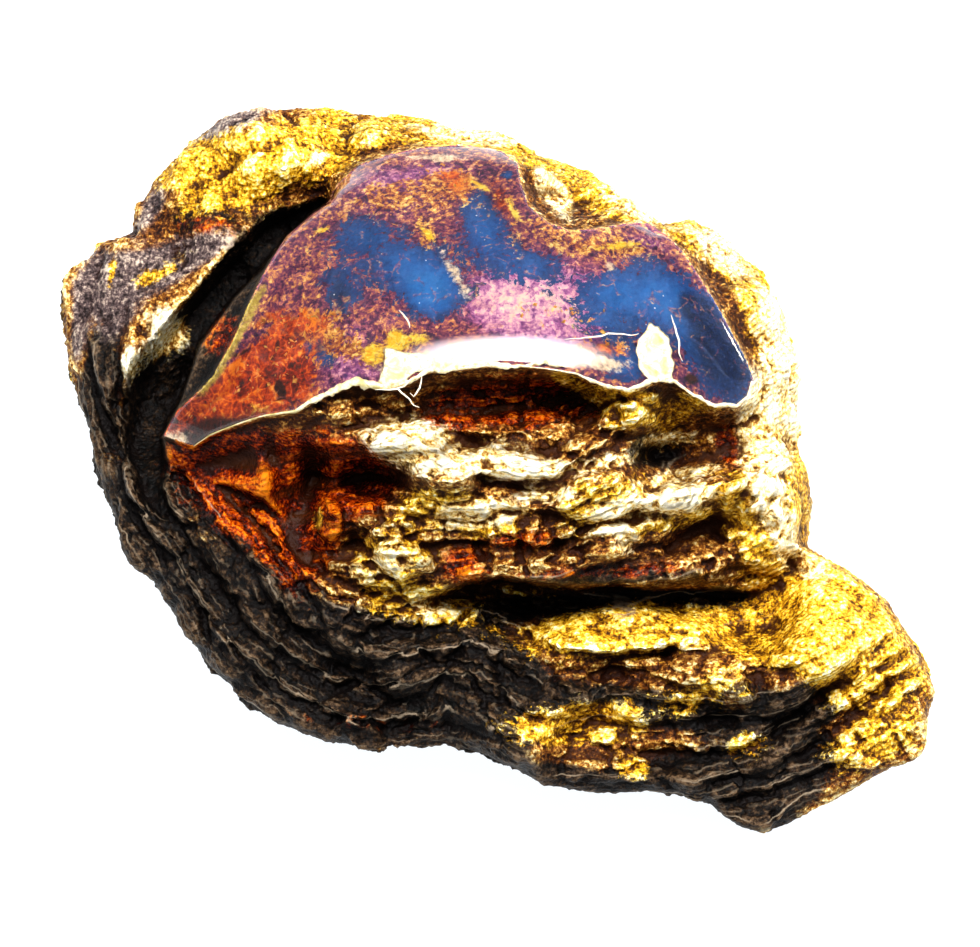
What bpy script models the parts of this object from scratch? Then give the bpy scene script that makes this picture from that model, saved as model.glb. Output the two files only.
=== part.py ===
"""A raw amber nodule with one polished window, lying on a worn flat spot. Metres, +Z up.

The relief is laid out in the plane of a viewer who looks at the nodule along +Y from VIEW_TILT above
the table. In that plane u points right and v points up, both in mm, and a height z above the table, in
mm too, belongs to each (u, v) of the side that the viewer sees. All lengths below are in mm.
"""

import math

import bmesh
import bpy
import numpy as np

MM = 0.001
VIEW_TILT = math.radians(60)
PIVOT_HEIGHT = 10.0  # the height at which v = 0 lies over y = 0
FOOTPRINT_SHIFT = (-0.32, -2.16)  # moves the nodule so that its box stands centred on the origin

BALL_SUBDIVISIONS = 7
VOXEL = 0.30
KEPT_FACES = 9300
TABLE_BLOCK = 100.0

# The outline that the viewer sees, counterclockwise from the left end.
OUTLINE = (
    (-23.6, 8.3), (-23.4, 6.2), (-22.8, 4.0), (-21.9, 1.8), (-21.2, -1.3), (-20.2, -3.7), (-18.5, -6.0),
    (-17.0, -8.3), (-15.5, -10.4), (-13.6, -12.3), (-11.5, -13.8), (-9.9, -14.3), (-7.2, -15.0),
    (-5.0, -14.9), (-2.4, -14.5), (-0.6, -15.2), (1.4, -16.2), (3.0, -17.0), (5.8, -17.5), (8.5, -17.4),
    (10.4, -17.5), (12.0, -18.1), (13.5, -19.2), (15.0, -19.7), (16.5, -19.1), (18.0, -18.0),
    (19.7, -17.3), (21.7, -16.3), (22.8, -15.3), (23.9, -13.7), (24.5, -12.0), (23.9, -10.4),
    (22.8, -8.7), (21.9, -7.0), (19.8, -5.5), (17.5, -4.1), (17.7, -1.7), (17.3, 0.3), (16.7, 1.8),
    (17.0, 4.0), (16.9, 6.5), (16.3, 8.4), (15.2, 10.4), (13.9, 12.1), (12.5, 13.5), (11.0, 13.9),
    (9.6, 13.8), (8.0, 14.7), (6.3, 15.9), (4.5, 16.8), (2.6, 17.7), (0.7, 18.6), (-1.8, 19.0),
    (-4.2, 19.5), (-7.0, 20.0), (-9.9, 19.9), (-13.2, 20.0), (-15.2, 19.5), (-16.9, 18.1),
    (-18.5, 16.5), (-19.6, 14.7), (-19.9, 13.4), (-21.7, 12.7), (-23.2, 10.4),
)
FRONT_POLE = (0.5, 1.8)
UNDERSIDE_POLE = (-0.9, -1.4)

# The outline lies RIM_HEIGHT above the table at v = 0 and climbs with v. From there the front rises to its
# full height while the ball that it is formed from rises by FULL_AT_LIFT.
RIM_HEIGHT = 7.5
RIM_CLIMB = 0.25
FULL_AT_LIFT = 0.42
SHOULDER = 0.9

# The side that the viewer doesn't see: a bowl below the rim that would reach BOWL_SAG below the table, with
# swells that grow from nothing at the rim and are flatter underneath.
BOWL_POWER = 1.3
BOWL_SAG = 0.55
SWELL_BALL = 20.0
SWELL_HEIGHT = 1.4
SWELL_SPREAD = 0.13
SWELLS_FULL_AT = 0.45
SWELLS_LOST_BELOW = 0.8

# The crust stands out in round knobs with creases between them, square to an egg with the half axes EGG. They
# fade out at the rim, so that the outline stays, and towards the side that the viewer sees best.
EGG = (23.0, 18.0, 11.0)
KNOB_LEVEL = 0.32
KNOBS_FROM_RIM = (0.0, 0.16)
KNOBS_TO_FRONT = (0.4, 0.15)

# The edge of the polished window: its left tip, then along the chipped lower edge.
WINDOW = (
    (-17.9, 2.1), (-16.2, 1.5), (-15.3, 2.1), (-14.0, 2.6), (-12.5, 3.1), (-10.6, 3.4), (-9.1, 4.2),
    (-7.2, 5.0), (-5.6, 4.7), (-4.3, 5.0), (-3.3, 5.6), (-1.6, 5.7), (0.6, 5.9), (2.8, 5.7), (4.7, 5.4),
    (6.0, 4.8), (7.5, 4.5), (8.9, 5.1), (10.0, 5.0), (11.0, 4.3), (12.2, 3.7), (13.4, 3.7), (14.0, 4.2),
    (14.3, 5.1), (13.9, 6.2), (12.3, 9.2), (10.5, 12.1), (9.6, 13.0), (8.6, 13.7), (7.3, 13.6),
    (5.6, 13.3), (4.3, 13.2), (3.1, 13.7), (2.1, 14.6), (1.7, 15.8), (1.5, 17.0), (0.7, 17.7),
    (-1.1, 18.1), (-3.3, 18.0), (-5.4, 17.6), (-7.2, 17.0), (-8.4, 15.9), (-9.0, 14.9), (-9.8, 14.3),
    (-11.2, 13.0), (-12.5, 10.6), (-13.2, 9.1), (-14.0, 7.2), (-15.1, 5.3), (-16.1, 4.3), (-17.1, 3.4),
)

# The window's dome: the top, its place, and how fast it falls away along u and v.
DOME_TOP = 23.3
DOME_AT = (1.0, 9.0)
DOME_FALL = (0.0204, 0.055)
STRAIGHT_BELOW = 9.0  # under this distance from the top the face goes on straight

# The edge of the raised cap that holds the window, the broken face and the right-hand crust. Its lower
# lip overhangs the groove. At the top and the right it runs past the outline, where the cap has no edge.
CAP = (
    (-18.1, 2.0), (-17.9, 0.8), (-17.2, 0.1), (-15.7, -0.5), (-14.0, -0.8), (-12.5, -1.5), (-11.6, -2.3),
    (-11.2, -3.9), (-10.4, -4.9), (-9.1, -5.4), (-7.2, -6.2), (-5.4, -6.5), (-4.3, -7.1), (-2.8, -6.6),
    (-1.1, -6.0), (0.6, -5.7), (2.8, -6.1), (4.7, -6.3), (6.8, -6.1), (8.8, -6.4), (11.6, -6.3),
    (13.9, -6.5), (15.7, -6.1), (16.8, -5.2), (17.4, -4.3), (20.8, -3.6), (20.8, 7.9), (11.6, 16.6),
    (3.9, 20.4), (-8.2, 22.0), (-8.5, 17.8), (-8.8, 15.0), (-9.7, 14.4), (-11.2, 13.1), (-12.5, 11.2),
    (-14.0, 9.8), (-15.1, 8.3), (-16.0, 7.1), (-16.6, 5.4), (-17.1, 4.0), (-17.7, 2.9),
)
CAP_EDGE = 0.25  # half the width over which the cap's height gives way to its surroundings'
CAP_EDGE_TOP = 2.6  # what is added to that at the top, and at the right end
CAP_EDGE_RIGHT = 1.6

# Where things begin and where they are full, along u or v.
RIGHT_CRUST_U = (7.5, 10.5)
RIGHT_CRUST_V = (-4.0, 0.0)
RIGHT_CRUST_SLANT = 0.25
TOP_CRUST_V = (13.5, 16.0)
CAP_TOP_V = (15.0, 17.0)
CAP_RIGHT_U = (15.0, 17.0)
CAP_RIGHT_V = (0.0, -2.0)
GLASSY_U = (-8.0, -11.0)
LOBE_U = (0.0, 6.0)
LOBE_V = (-3.0, -6.0)
LAYERED_V = (10.0, 6.0)
GRAINY_V = (8.0, 12.0)

# The crust outside the window: it drops by CRUST_STEP within CRUST_STEP_WIDTH, and then slopes away.
CRUST_STEP = 1.6
CRUST_STEP_WIDTH = 0.6
CRUST_FALL_RIGHT = 1.3
CRUST_FALL_TOP = 0.4
DEEPEST_CRUST = 6.0
CRUST_LUMP_SHARE = 1.7
CRUST_LUMP_LEVEL = 0.3

# The broken face: it lies FACE_DROP under the dome's line, with a recess right under the window's lip.
FACE_DROP = 0.8
CHIP_WIDTH = 0.3
RECESS_DEPTH = 1.7
RECESS_AT = 1.5
RECESS_WIDTH = 1.1
RECESS_LEFT = (-9.0, -6.0)
RECESS_RIGHT = (9.5, 6.5)

# The layers show as ledges: (thickness, share of it that is riser, how far the slope becomes a step).
LAYER = (1.8, 0.3, 0.9)
FACE_CLIMB = 0.06  # how the face's layers climb to the right, and the steeper climb at its right end
FACE_STEEPER_CLIMB = 0.2
FACE_STEEPEST_CLIMB = 0.28
FACE_STEEPER_FROM = 3.5
FACE_STEEPER_V = (-4.5, 0.5)
FACE_BEND = 0.25  # how much lumps and hollows bend the face's layers
FACE_LAYER_SHARE = 0.3
SURROUND_LAYER_SHARE = 0.6
LOBE_LAYER_SHARE = 0.55
LOBE_CLIMB = 0.06  # the lobe's layers climb too, and more and more towards its end
LOBE_STEEPER_CLIMB = 0.5
LOBE_STEEPER_FROM = 15.0
LOBE_BEND = 0.45
GLASSY_SMOOTHNESS = 0.85

# Noise, as (height, size of the largest features, seed, octaves, how strong each finer octave is).
CRUST_KNOBS = (1.6, 3.3, 11, 2, 0.45)
EDGE_WANDER = (0.3, 1.3, 17, 3, 0.6)
FACE_WARP = (0.55, 3.2, 21, 4, 0.55)
FACE_LAYER_PATCHES = (0.5, 3.0, 24, 2, 0.5)
FACE_GRAIN = (0.3, 1.6, 25, 2, 0.5)
SURROUND_SWELL = (0.7, 5.5, 30, 2, 0.5)
LAYER_WARP = (0.9, 4.0, 31, 5, 0.55)
LAYER_PATCHES = (0.6, 4.0, 34, 2, 0.5)
SURROUND_GRAIN = (0.25, 1.4, 51, 2, 0.5)
LOBE_SWELL = (0.7, 3.0, 52, 2, 0.5)
UNDERSIDE_SWELLS = (1.0, 6.0, 61, 4, 0.55)

# Blocks between cracks, as (height, length, width, seed). A crack's width is in shares of a block.
CRACK_WIDTH = 0.22
BLOCK_JITTER = 0.42
BLOCK_UNEVENNESS = 0.4
FACE_BLOCKS = (0.6, 2.3, 1.2, 61)
LOBE_BLOCKS = (0.5, 2.0, 1.1, 71)
FLANK_BLOCKS = (0.75, 3.2, 1.5, 77)
FLANK_RADIUS = 17.0  # lengths along the flank are measured at this distance from the pole
FLANK_BEND = 0.5  # how much the blocks bend the flank's layers

# Heights around the cap, as (u, v, z). Each counts within about HEIGHT_REACH of its place.
UPPER_LEFT_HEIGHTS = (
    (-8.8, 19.2, 16.0), (-12.1, 17.2, 17.0), (-15.9, 15.6, 15.0), (-18.4, 13.1, 13.0), (-13.8, 13.1, 15.5),
    (-10.9, 14.4, 14.0), (-14.9, 10.6, 14.0), (-17.1, 9.0, 14.0), (-19.3, 6.6, 13.2), (-20.6, 10.9, 12.5),
    (-22.3, 9.5, 10.5), (-21.9, 5.7, 10.4), (-18.1, 4.0, 10.0), (-20.9, 1.8, 9.6),
)
FLANK_HEIGHTS = (
    (-19.2, -2.0, 9.0), (-16.8, -5.3, 8.5), (-17.6, -0.9, 11.5), (-14.3, -2.6, 11.5), (-12.4, -5.6, 11.0),
    (-14.6, -8.1, 8.5), (-11.0, -9.2, 9.0), (-8.0, -7.0, 11.0), (-11.0, -11.9, 6.5), (-7.7, -12.5, 6.5),
    (-5.0, -9.2, 9.5), (-3.6, -7.8, 10.5), (-2.2, -11.4, 8.0), (-3.3, -13.7, 5.0), (-0.6, -9.2, 9.5),
    (1.6, -12.5, 8.0),
)
LOBE_HEIGHTS = (
    (4.4, -9.2, 9.8), (8.2, -8.4, 9.7), (11.6, -9.2, 10.5), (18.1, -6.4, 9.5), (20.9, -8.3, 9.0),
    (18.1, -9.7, 10.5), (14.8, -11.4, 9.5), (8.2, -11.4, 8.5), (6.0, -14.9, 5.5), (11.6, -14.7, 6.5),
    (15.9, -14.7, 7.0), (20.1, -12.5, 8.0), (22.8, -11.6, 6.5), (21.2, -14.7, 6.2), (17.1, -17.4, 5.0),
    (13.8, -18.0, 4.6), (8.8, -16.3, 5.2),
)
GROOVE_HEIGHTS = (
    (-1.8, -7.2, 8.2), (0.0, -6.9, 7.2), (2.8, -7.2, 7.0), (5.2, -7.1, 7.0), (8.4, -7.0, 7.2),
    (11.4, -7.0, 6.6), (13.4, -7.6, 6.2), (15.0, -6.9, 6.6),
)
HEIGHT_REACH = 1.35

# A plate's edge, and how much lower than its middle it lies there, in shares of its half width and height.
PLATE_EDGE = (1.15, 0.8)
PLATE_CROWN = 0.3

# Lumps and hollows, as (u, v, half length, half width, turn in degrees, height).
CRUST_LUMPS = (
    (9.2, 14.2, 1.3, 1.3, 0, 0.9), (11.3, 13.1, 1.2, 1.2, 0, 1.1), (13.0, 11.6, 1.2, 1.2, 0, 0.8),
    (13.9, 9.9, 1.1, 1.1, 0, 1.0), (15.4, 8.6, 1.2, 1.2, 0, 1.1), (15.0, 6.7, 1.0, 1.0, 0, 0.7),
    (16.2, 5.6, 1.2, 1.2, 0, 1.0), (16.0, 3.4, 1.3, 1.3, 0, 1.0), (16.5, 1.0, 1.2, 1.2, 0, 0.8),
    (16.9, -1.8, 1.4, 1.4, 0, 0.8), (-6.9, 18.7, 1.6, 1.6, 0, 1.0), (-3.6, 18.9, 1.3, 1.3, 0, 0.5),
    (7.4, 15.2, 1.2, 1.2, 0, 0.7), (2.6, 16.7, 1.2, 1.2, 0, 0.7), (5.2, 14.6, 2.3, 1.0, -22, -1.9),
)
GLASSY_SCOOPS = (
    (-13.6, 0.8, 3.0, 1.1, 14, -1.5), (-12.3, -0.2, 0.5, 1.6, 8, 0.8), (-11.0, -1.2, 1.1, 2.6, 12, -1.5),
)
FACE_HOLLOWS = (
    (-7.0, -0.3, 2.5, 1.3, 3, -4.6), (-9.8, -0.3, 0.9, 2.2, 0, -2.6), (-7.4, -3.6, 0.7, 0.7, 0, -1.5),
    (0.6, 3.2, 3.2, 1.5, -12, -2.2), (4.1, 4.0, 2.0, 1.2, 0, -2.6), (-1.6, 1.9, 2.4, 0.8, -38, -1.8),
    (9.0, 1.2, 1.4, 1.0, 0, -3.6), (11.0, 1.2, 1.6, 0.9, 0, -1.8), (12.6, 1.9, 1.4, 1.1, 0, -0.8),
    (-1.4, -3.9, 2.0, 1.1, 0, -1.0), (11.6, -3.1, 3.0, 0.7, 10, -1.0),
)
FACE_PLATES = (
    (-4.2, 0.8, 3.3, 1.1, -27, 1.1), (-2.5, -0.4, 2.0, 1.2, -4, 1.1), (5.9, -1.2, 2.5, 1.4, 6, 1.6),
    (6.6, -3.7, 1.8, 1.0, 12, 1.3), (11.0, -1.1, 3.0, 0.8, 12, 1.6), (7.1, 3.1, 1.5, 0.7, 12, 1.4),
    (10.4, 3.8, 2.3, 0.6, -8, 1.0), (14.8, -2.6, 2.3, 2.8, 15, 1.6), (-4.7, -4.6, 1.7, 1.1, -20, 1.8),
    (-7.6, -5.5, 1.5, 0.7, -12, 1.2), (-5.2, -3.0, 1.3, 0.5, 4, 1.0), (-8.8, -2.6, 0.7, 1.2, 0, 1.0),
    (0.6, -3.7, 0.9, 1.4, 4, 0.7), (2.6, -3.9, 0.8, 1.4, -6, 0.9), (4.2, -3.7, 0.7, 1.3, 8, 0.5),
    (8.9, -3.2, 1.2, 0.8, 14, 1.0), (0.8, 0.6, 2.4, 0.9, -4, 1.1), (7.0, -5.2, 9.0, 0.9, 1, 0.8),
)
LOBE_PLATES = (
    (7.4, -8.6, 4.7, 1.3, 2, 1.1), (3.4, -12.3, 2.5, 1.1, -6, 1.2), (9.4, -10.9, 2.2, 0.8, -8, 0.8),
    (9.3, -12.0, 1.4, 0.4, -12, 0.6), (6.3, -14.4, 0.8, 0.5, 8, 0.6), (11.0, -13.1, 1.0, 0.4, 8, 0.5),
    (17.4, -8.4, 4.2, 2.6, -32, 0.8), (2.6, -10.0, 0.5, 0.4, 0, 0.5),
)
LOBE_HOLLOWS = (
    (5.6, -10.9, 3.9, 0.9, 0, -1.5), (14.7, -11.8, 0.6, 1.2, 10, -1.1), (13.4, -13.3, 2.2, 0.6, 6, -1.1),
    (17.6, -12.6, 3.2, 0.45, 38, -1.5), (19.9, -13.2, 3.4, 0.5, 36, -1.4), (10.2, -15.6, 3.2, 0.7, 6, -0.9),
    (9.8, -9.7, 1.2, 0.25, 48, -0.9),
)

# Where the lobe has no layers and blocks: on its shoulder.
LOBE_SHOULDER = ((17.6, -6.4, 5.0, 2.6, -38, 1.0), (13.5, -8.3, 2.6, 1.2, -5, 0.6))

# The crevice left of the cap, as (u, v, half width, depth) from its upper end down. Its floor is flat out
# to CREVICE_FLOOR of the half width, and its walls end at CREVICE_WALL of it.
CREVICE = (
    (-9.4, 14.8, 0.4, 1.5), (-11.7, 13.5, 0.8, 3.0), (-14.0, 10.9, 0.9, 4.0), (-16.3, 8.0, 1.1, 3.8),
    (-18.0, 4.9, 1.6, 3.0), (-18.9, 1.6, 1.2, 2.2), (-18.6, -1.0, 0.6, 1.2), (-17.6, -2.4, 0.3, 0.4),
)
CREVICE_FLOOR = 0.58
CREVICE_WALL = 1.42
CREVICE_CALM = (1.0, 0.2)  # the layers and blocks fade out between these depths


def smooth(t):
    """0 below 0, 1 above 1, and an even rise between."""
    t = np.clip(t, 0.0, 1.0)
    return t * t * (3.0 - 2.0 * t)


def fade(value, ends):
    """0 at the first end, 1 at the other."""
    none_at, full_at = ends
    return smooth((value - none_at) / (full_at - none_at))


def bell(reach):
    return np.exp(-reach**2)


def plate(reach):
    """Crowned on top, with a steep edge."""
    return fade(reach, PLATE_EDGE) * (1 - PLATE_CROWN * reach**2)


def mounds(u, v, shapes, profile=bell):
    """The sum of ovals, each given as (u, v, half length, half width, turn in degrees, height)."""
    total = np.zeros_like(u)
    for at_u, at_v, length, width, turn, height in shapes:
        cos = math.cos(math.radians(turn))
        sin = math.sin(math.radians(turn))
        along = ((u - at_u) * cos + (v - at_v) * sin) / length
        across = ((v - at_v) * cos - (u - at_u) * sin) / width
        total += height * profile(np.hypot(along, across))
    return total


def place_on_line(u, v, start, end):
    """How far along a straight line its nearest point to (u, v) lies, from 0 to 1, and the distance to it."""
    du = end[0] - start[0]
    dv = end[1] - start[1]
    along = np.clip(((u - start[0]) * du + (v - start[1]) * dv) / (du**2 + dv**2), 0, 1)
    return along, np.hypot(u - start[0] - along * du, v - start[1] - along * dv)


def inside_distance(u, v, outline):
    """The distance to a closed outline, positive inside it."""
    nearest = np.full(u.shape, np.inf)
    inside = np.zeros(u.shape, bool)
    for start, end in zip(outline, outline[1:] + outline[:1]):
        nearest = np.minimum(nearest, place_on_line(u, v, start, end)[1])
        if start[1] != end[1]:
            crossing_u = start[0] + (v - start[1]) * (end[0] - start[0]) / (end[1] - start[1])
            inside ^= ((start[1] > v) != (end[1] > v)) & (u < crossing_u)
    return np.where(inside, nearest, -nearest)


def crevice_depth(u, v):
    """How far the crevice goes down, with steep walls and a rounded floor."""
    depth = np.zeros_like(u)
    for start, end in zip(CREVICE, CREVICE[1:]):
        along, distance = place_on_line(u, v, start, end)
        half_width = start[2] + (end[2] - start[2]) * along
        floor_depth = start[3] + (end[3] - start[3]) * along
        depth = np.maximum(depth, floor_depth * fade(distance / half_width, (CREVICE_WALL, CREVICE_FLOOR)))
    return depth


def random_at(cells, seed):
    """A random number between -1 and 1 for each cell of a lattice."""
    key = sum(cell * prime for cell, prime in zip(cells, (374761393, 668265263, 1440662683)))
    key = (key + seed * 362437) & 0xFFFFFFFF
    key = ((key ^ (key >> 13)) * 1274126177) & 0xFFFFFFFF
    return ((key ^ (key >> 16)) & 0xFFFF) / 32767.5 - 1.0


def lattice_noise(x, y, z, seed):
    """Smooth noise between -1 and 1 with features one unit wide."""
    cells = [np.floor(a).astype(np.int64) for a in (x, y, z)]
    parts = [a - cell for a, cell in zip((x, y, z), cells)]
    parts = [a**3 * (a * (a * 6 - 15) + 10) for a in parts]
    total = np.zeros_like(x)
    for corner in range(8):
        step = [corner & 1, corner >> 1 & 1, corner >> 2 & 1]
        value = random_at([cell + s for cell, s in zip(cells, step)], seed)
        for part, s in zip(parts, step):
            value = value * (part if s else 1 - part)
        total += value
    return total


def noise(x, y, z, pattern):
    """A noise pattern's height: large features, with finer and weaker ones on them."""
    height, size, seed, octaves, finer = pattern
    total = np.zeros_like(x)
    weight = 0.0
    for octave in range(octaves):
        scale = 2**octave / size
        strength = finer**octave
        total += strength * lattice_noise(
            x * scale + 7.3 * octave, y * scale - 3.1 * octave, z * scale + 1.7 * octave, seed + octave)
        weight += strength
    return height * total / weight


def flat_noise(u, v, pattern):
    return noise(u, v, np.zeros_like(u), pattern)


def blocks(u, v, pattern):
    """Lumps of uneven height with cracks between them."""
    height, length, width, seed = pattern
    x = u / length
    y = v / width
    nearest = np.full(u.shape, 9.0)
    second = np.full(u.shape, 9.0)
    own = np.zeros_like(u)
    for i in (-1, 0, 1):
        for j in (-1, 0, 1):
            cell = (np.floor(x).astype(np.int64) + i, np.floor(y).astype(np.int64) + j)
            middle_x = cell[0] + 0.5 + BLOCK_JITTER * random_at(cell, seed)
            middle_y = cell[1] + 0.5 + BLOCK_JITTER * random_at(cell, seed + 1)
            distance = np.hypot(x - middle_x, y - middle_y)
            closer = distance < nearest
            second = np.where(closer, nearest, np.minimum(second, distance))
            own = np.where(closer, random_at(cell, seed + 2), own)
            nearest = np.minimum(nearest, distance)
    return height * (1 - BLOCK_UNEVENNESS + BLOCK_UNEVENNESS * own) * smooth((second - nearest) / CRACK_WIDTH)


def sawtooth(layers, riser):
    """Falls from 0 through each layer, and is back at 0 at its end, the riser's top."""
    part = layers - np.floor(layers)
    return smooth((part - 1 + riser) / riser) - part


def terraced(z, bed, layer, amount):
    """Turns a slope into treads and risers along the layers, which are steps of bed."""
    thickness, riser, strength = layer
    return z + amount * strength * thickness * sawtooth(bed / thickness, riser)


def wandering(u, v):
    """The same places, moved unevenly, which makes the edges of the forms ragged."""
    return u + flat_noise(u, v, EDGE_WANDER), v + flat_noise(v, u, EDGE_WANDER)


def dome_height(u, v):
    """The window's dome, and its straight continuation down the broken face."""
    down = v - DOME_AT[1]
    fall = np.where(
        down < -STRAIGHT_BELOW,
        DOME_FALL[1] * STRAIGHT_BELOW * (-2 * down - STRAIGHT_BELOW),
        DOME_FALL[1] * down**2,
    )
    return DOME_TOP - DOME_FALL[0] * (u - DOME_AT[0]) ** 2 - fall


def face_forms(u, v):
    """The broken face's scoops, hollows and lumps."""
    at = wandering(u, v)
    return mounds(*at, GLASSY_SCOOPS + FACE_HOLLOWS) + mounds(*at, FACE_PLATES, plate)


def face_bed(u, v, forms):
    """The place across the face's layers, which lie level at the left and climb to the right."""
    steeper = FACE_STEEPER_CLIMB + FACE_STEEPEST_CLIMB * fade(v, FACE_STEEPER_V)
    climb = FACE_CLIMB * u + steeper * np.maximum(u - FACE_STEEPER_FROM, 0)
    return v - climb + FACE_BEND * forms + flat_noise(u, v, FACE_WARP)


def broken_face_height(u, v, out, start):
    """The broken face: a recess under the window's lip, and forms that are cut into ledges."""
    glassy = fade(u, GLASSY_U)
    under_lip = np.exp(-(((out - RECESS_AT) / RECESS_WIDTH) ** 2))
    recess = RECESS_DEPTH * under_lip * fade(u, RECESS_LEFT) * fade(u, RECESS_RIGHT)
    forms = face_forms(u, v)
    z = start - FACE_DROP - recess + forms
    bed = face_bed(u, v, forms)
    rough = 1 - GLASSY_SMOOTHNESS * glassy
    z = z + rough * blocks(*wandering(u, v), FACE_BLOCKS)
    z = terraced(z, bed, LAYER, rough * (FACE_LAYER_SHARE + flat_noise(u, v, FACE_LAYER_PATCHES)))
    return z + rough * flat_noise(u, v, FACE_GRAIN)


def crust_shares(u, v):
    """Where the cap's crust lies, if not on the window: on the right, and at the top."""
    right = fade(u, RIGHT_CRUST_U) * fade(v - RIGHT_CRUST_SLANT * u, RIGHT_CRUST_V)
    return right, fade(v, TOP_CRUST_V) * (1 - right)


def cap_height(u, v):
    """The cap: the dome inside the window, crust above and to the right of it, the broken face below."""
    out = np.maximum(-inside_distance(u, v, WINDOW), 0.0)
    right, top = crust_shares(u, v)
    step = CRUST_STEP * smooth(out / CRUST_STEP_WIDTH)
    drop = right * (step + CRUST_FALL_RIGHT * out) + top * (step + CRUST_FALL_TOP * out)
    lumps = CRUST_LUMP_SHARE * mounds(u, v, CRUST_LUMPS) - CRUST_LUMP_LEVEL
    crust = dome_height(u, v) - np.minimum(drop, DEEPEST_CRUST) + smooth(out) * (right + top) * lumps
    chipped = smooth(out / CHIP_WIDTH) * (1 - np.maximum(right, top))
    return crust + chipped * (broken_face_height(u, v, out, crust) - crust)


def height_from_spots(u, v):
    """A smooth surface through the hand-set heights, each of which counts near its own place."""
    total = np.zeros_like(u)
    weight = np.full(u.shape, 1e-9)
    for at_u, at_v, z in UPPER_LEFT_HEIGHTS + FLANK_HEIGHTS + LOBE_HEIGHTS + GROOVE_HEIGHTS:
        near = np.exp(-((u - at_u) ** 2 + (v - at_v) ** 2) / (2 * HEIGHT_REACH**2))
        total += near * z
        weight += near
    return total / weight


def lobe_share(u, v):
    return fade(u, LOBE_U) * fade(v, LOBE_V)


def layered_lobe_share(u, v):
    """1 where the lobe is layered and cracked into blocks, 0 on its smooth shoulder and off the lobe."""
    return lobe_share(u, v) * (1 - np.minimum(mounds(u, v, LOBE_SHOULDER), 1))


def flank_blocks(u, v):
    """Blocks that are drawn out along the outline."""
    round_pole = FLANK_RADIUS * np.arctan2(u - FRONT_POLE[0], FRONT_POLE[1] - v)
    inward = inside_distance(u, v, OUTLINE)
    return blocks(round_pole, inward, FLANK_BLOCKS)


def surround_bed(u, v, z):
    """The place across the layers round the cap, which follow the outline and lie level on the far side."""
    over_rim = z - rim_height(v)
    bed = inside_distance(u, v, OUTLINE) + FLANK_BEND * flank_blocks(*wandering(u, v))
    return np.where(over_rim > 0, bed, over_rim) + flat_noise(u, v, LAYER_WARP)


def lobe_bed(u, v, z):
    """The place across the lobe's layers, which climb more and more towards its end."""
    steeper = LOBE_STEEPER_CLIMB * np.maximum(u - LOBE_STEEPER_FROM, 0)
    return v - LOBE_CLIMB * u - steeper + LOBE_BEND * z + flat_noise(u, v, LAYER_WARP)


def surround_height(u, v):
    """Everything round the cap: the grainy upper left lobe, the layered flank and the lower right lobe."""
    at = wandering(u, v)
    z = height_from_spots(u, v) + flat_noise(u, v, SURROUND_SWELL)
    lobe = lobe_share(u, v)
    layered_lobe = layered_lobe_share(u, v)
    crevice = crevice_depth(u, v)
    layered = fade(v, LAYERED_V) * fade(crevice, CREVICE_CALM)
    z = z + lobe * (mounds(*at, LOBE_PLATES, plate) + mounds(*at, LOBE_HOLLOWS)) - crevice
    z = z + layered_lobe * blocks(*at, LOBE_BLOCKS) + (1 - lobe) * layered * flank_blocks(*at)
    amount = layered * (SURROUND_LAYER_SHARE + flat_noise(u, v, LAYER_PATCHES))
    for bed, share in (
        (surround_bed(u, v, z), 1 - lobe), (lobe_bed(u, v, z), LOBE_LAYER_SHARE * layered_lobe),
    ):
        z = terraced(z, bed, LAYER, share * amount)
    return z + flat_noise(u, v, SURROUND_GRAIN) + fade(v, GRAINY_V) * flat_noise(u, v, LOBE_SWELL)


def front_height(u, v):
    """The whole side that the viewer sees. The cap's edge is sharp but for its upper left and right ends."""
    edge = CAP_EDGE + CAP_EDGE_TOP * fade(v, CAP_TOP_V)
    edge = edge + CAP_EDGE_RIGHT * fade(u, CAP_RIGHT_U) * fade(v, CAP_RIGHT_V)
    on_cap = smooth(0.5 + inside_distance(u, v, CAP) / (2 * edge))
    return cap_height(u, v) * on_cap + surround_height(u, v) * (1 - on_cap)


def rim_height(v):
    """The height of the outermost line that the viewer sees."""
    return RIM_HEIGHT + RIM_CLIMB * v


def rim_point(angle):
    """The outline's point in each direction from the front pole."""
    arms = np.array(OUTLINE) - FRONT_POLE
    turns = np.arctan2(arms[:, 1], arms[:, 0])
    order = np.argsort(turns)
    reach = np.interp(angle, turns[order], np.hypot(arms[:, 0], arms[:, 1])[order], period=2 * math.pi)
    return FRONT_POLE[0] + reach * np.cos(angle), FRONT_POLE[1] + reach * np.sin(angle)


def crust_knobs(points, directions, crust):
    """How far the knobs push each point out, where crust is the share of them that is left there."""
    across, up, near = (directions / EGG).T
    out = np.stack([
        across,
        up * math.sin(VIEW_TILT) - near * math.cos(VIEW_TILT),
        up * math.cos(VIEW_TILT) + near * math.sin(VIEW_TILT),
    ], axis=1)
    height = crust * (np.abs(noise(*points.T, CRUST_KNOBS)) - KNOB_LEVEL)
    return out * (height / np.linalg.norm(out, axis=1))[:, np.newaxis]


def rounding(lift):
    """How much of its height over the rim the front has reached, from 0 at the rim to 1."""
    return np.sin(np.clip(lift / FULL_AT_LIFT, 0, 1) * math.pi / 2) ** SHOULDER


def place(u, v, z):
    """The points that the viewer sees at (u, v), at the heights z."""
    y = v / math.sin(VIEW_TILT) - (z - PIVOT_HEIGHT) / math.tan(VIEW_TILT)
    return np.stack([u + FOOTPRINT_SHIFT[0], y + FOOTPRINT_SHIFT[1], z], axis=-1)


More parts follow.
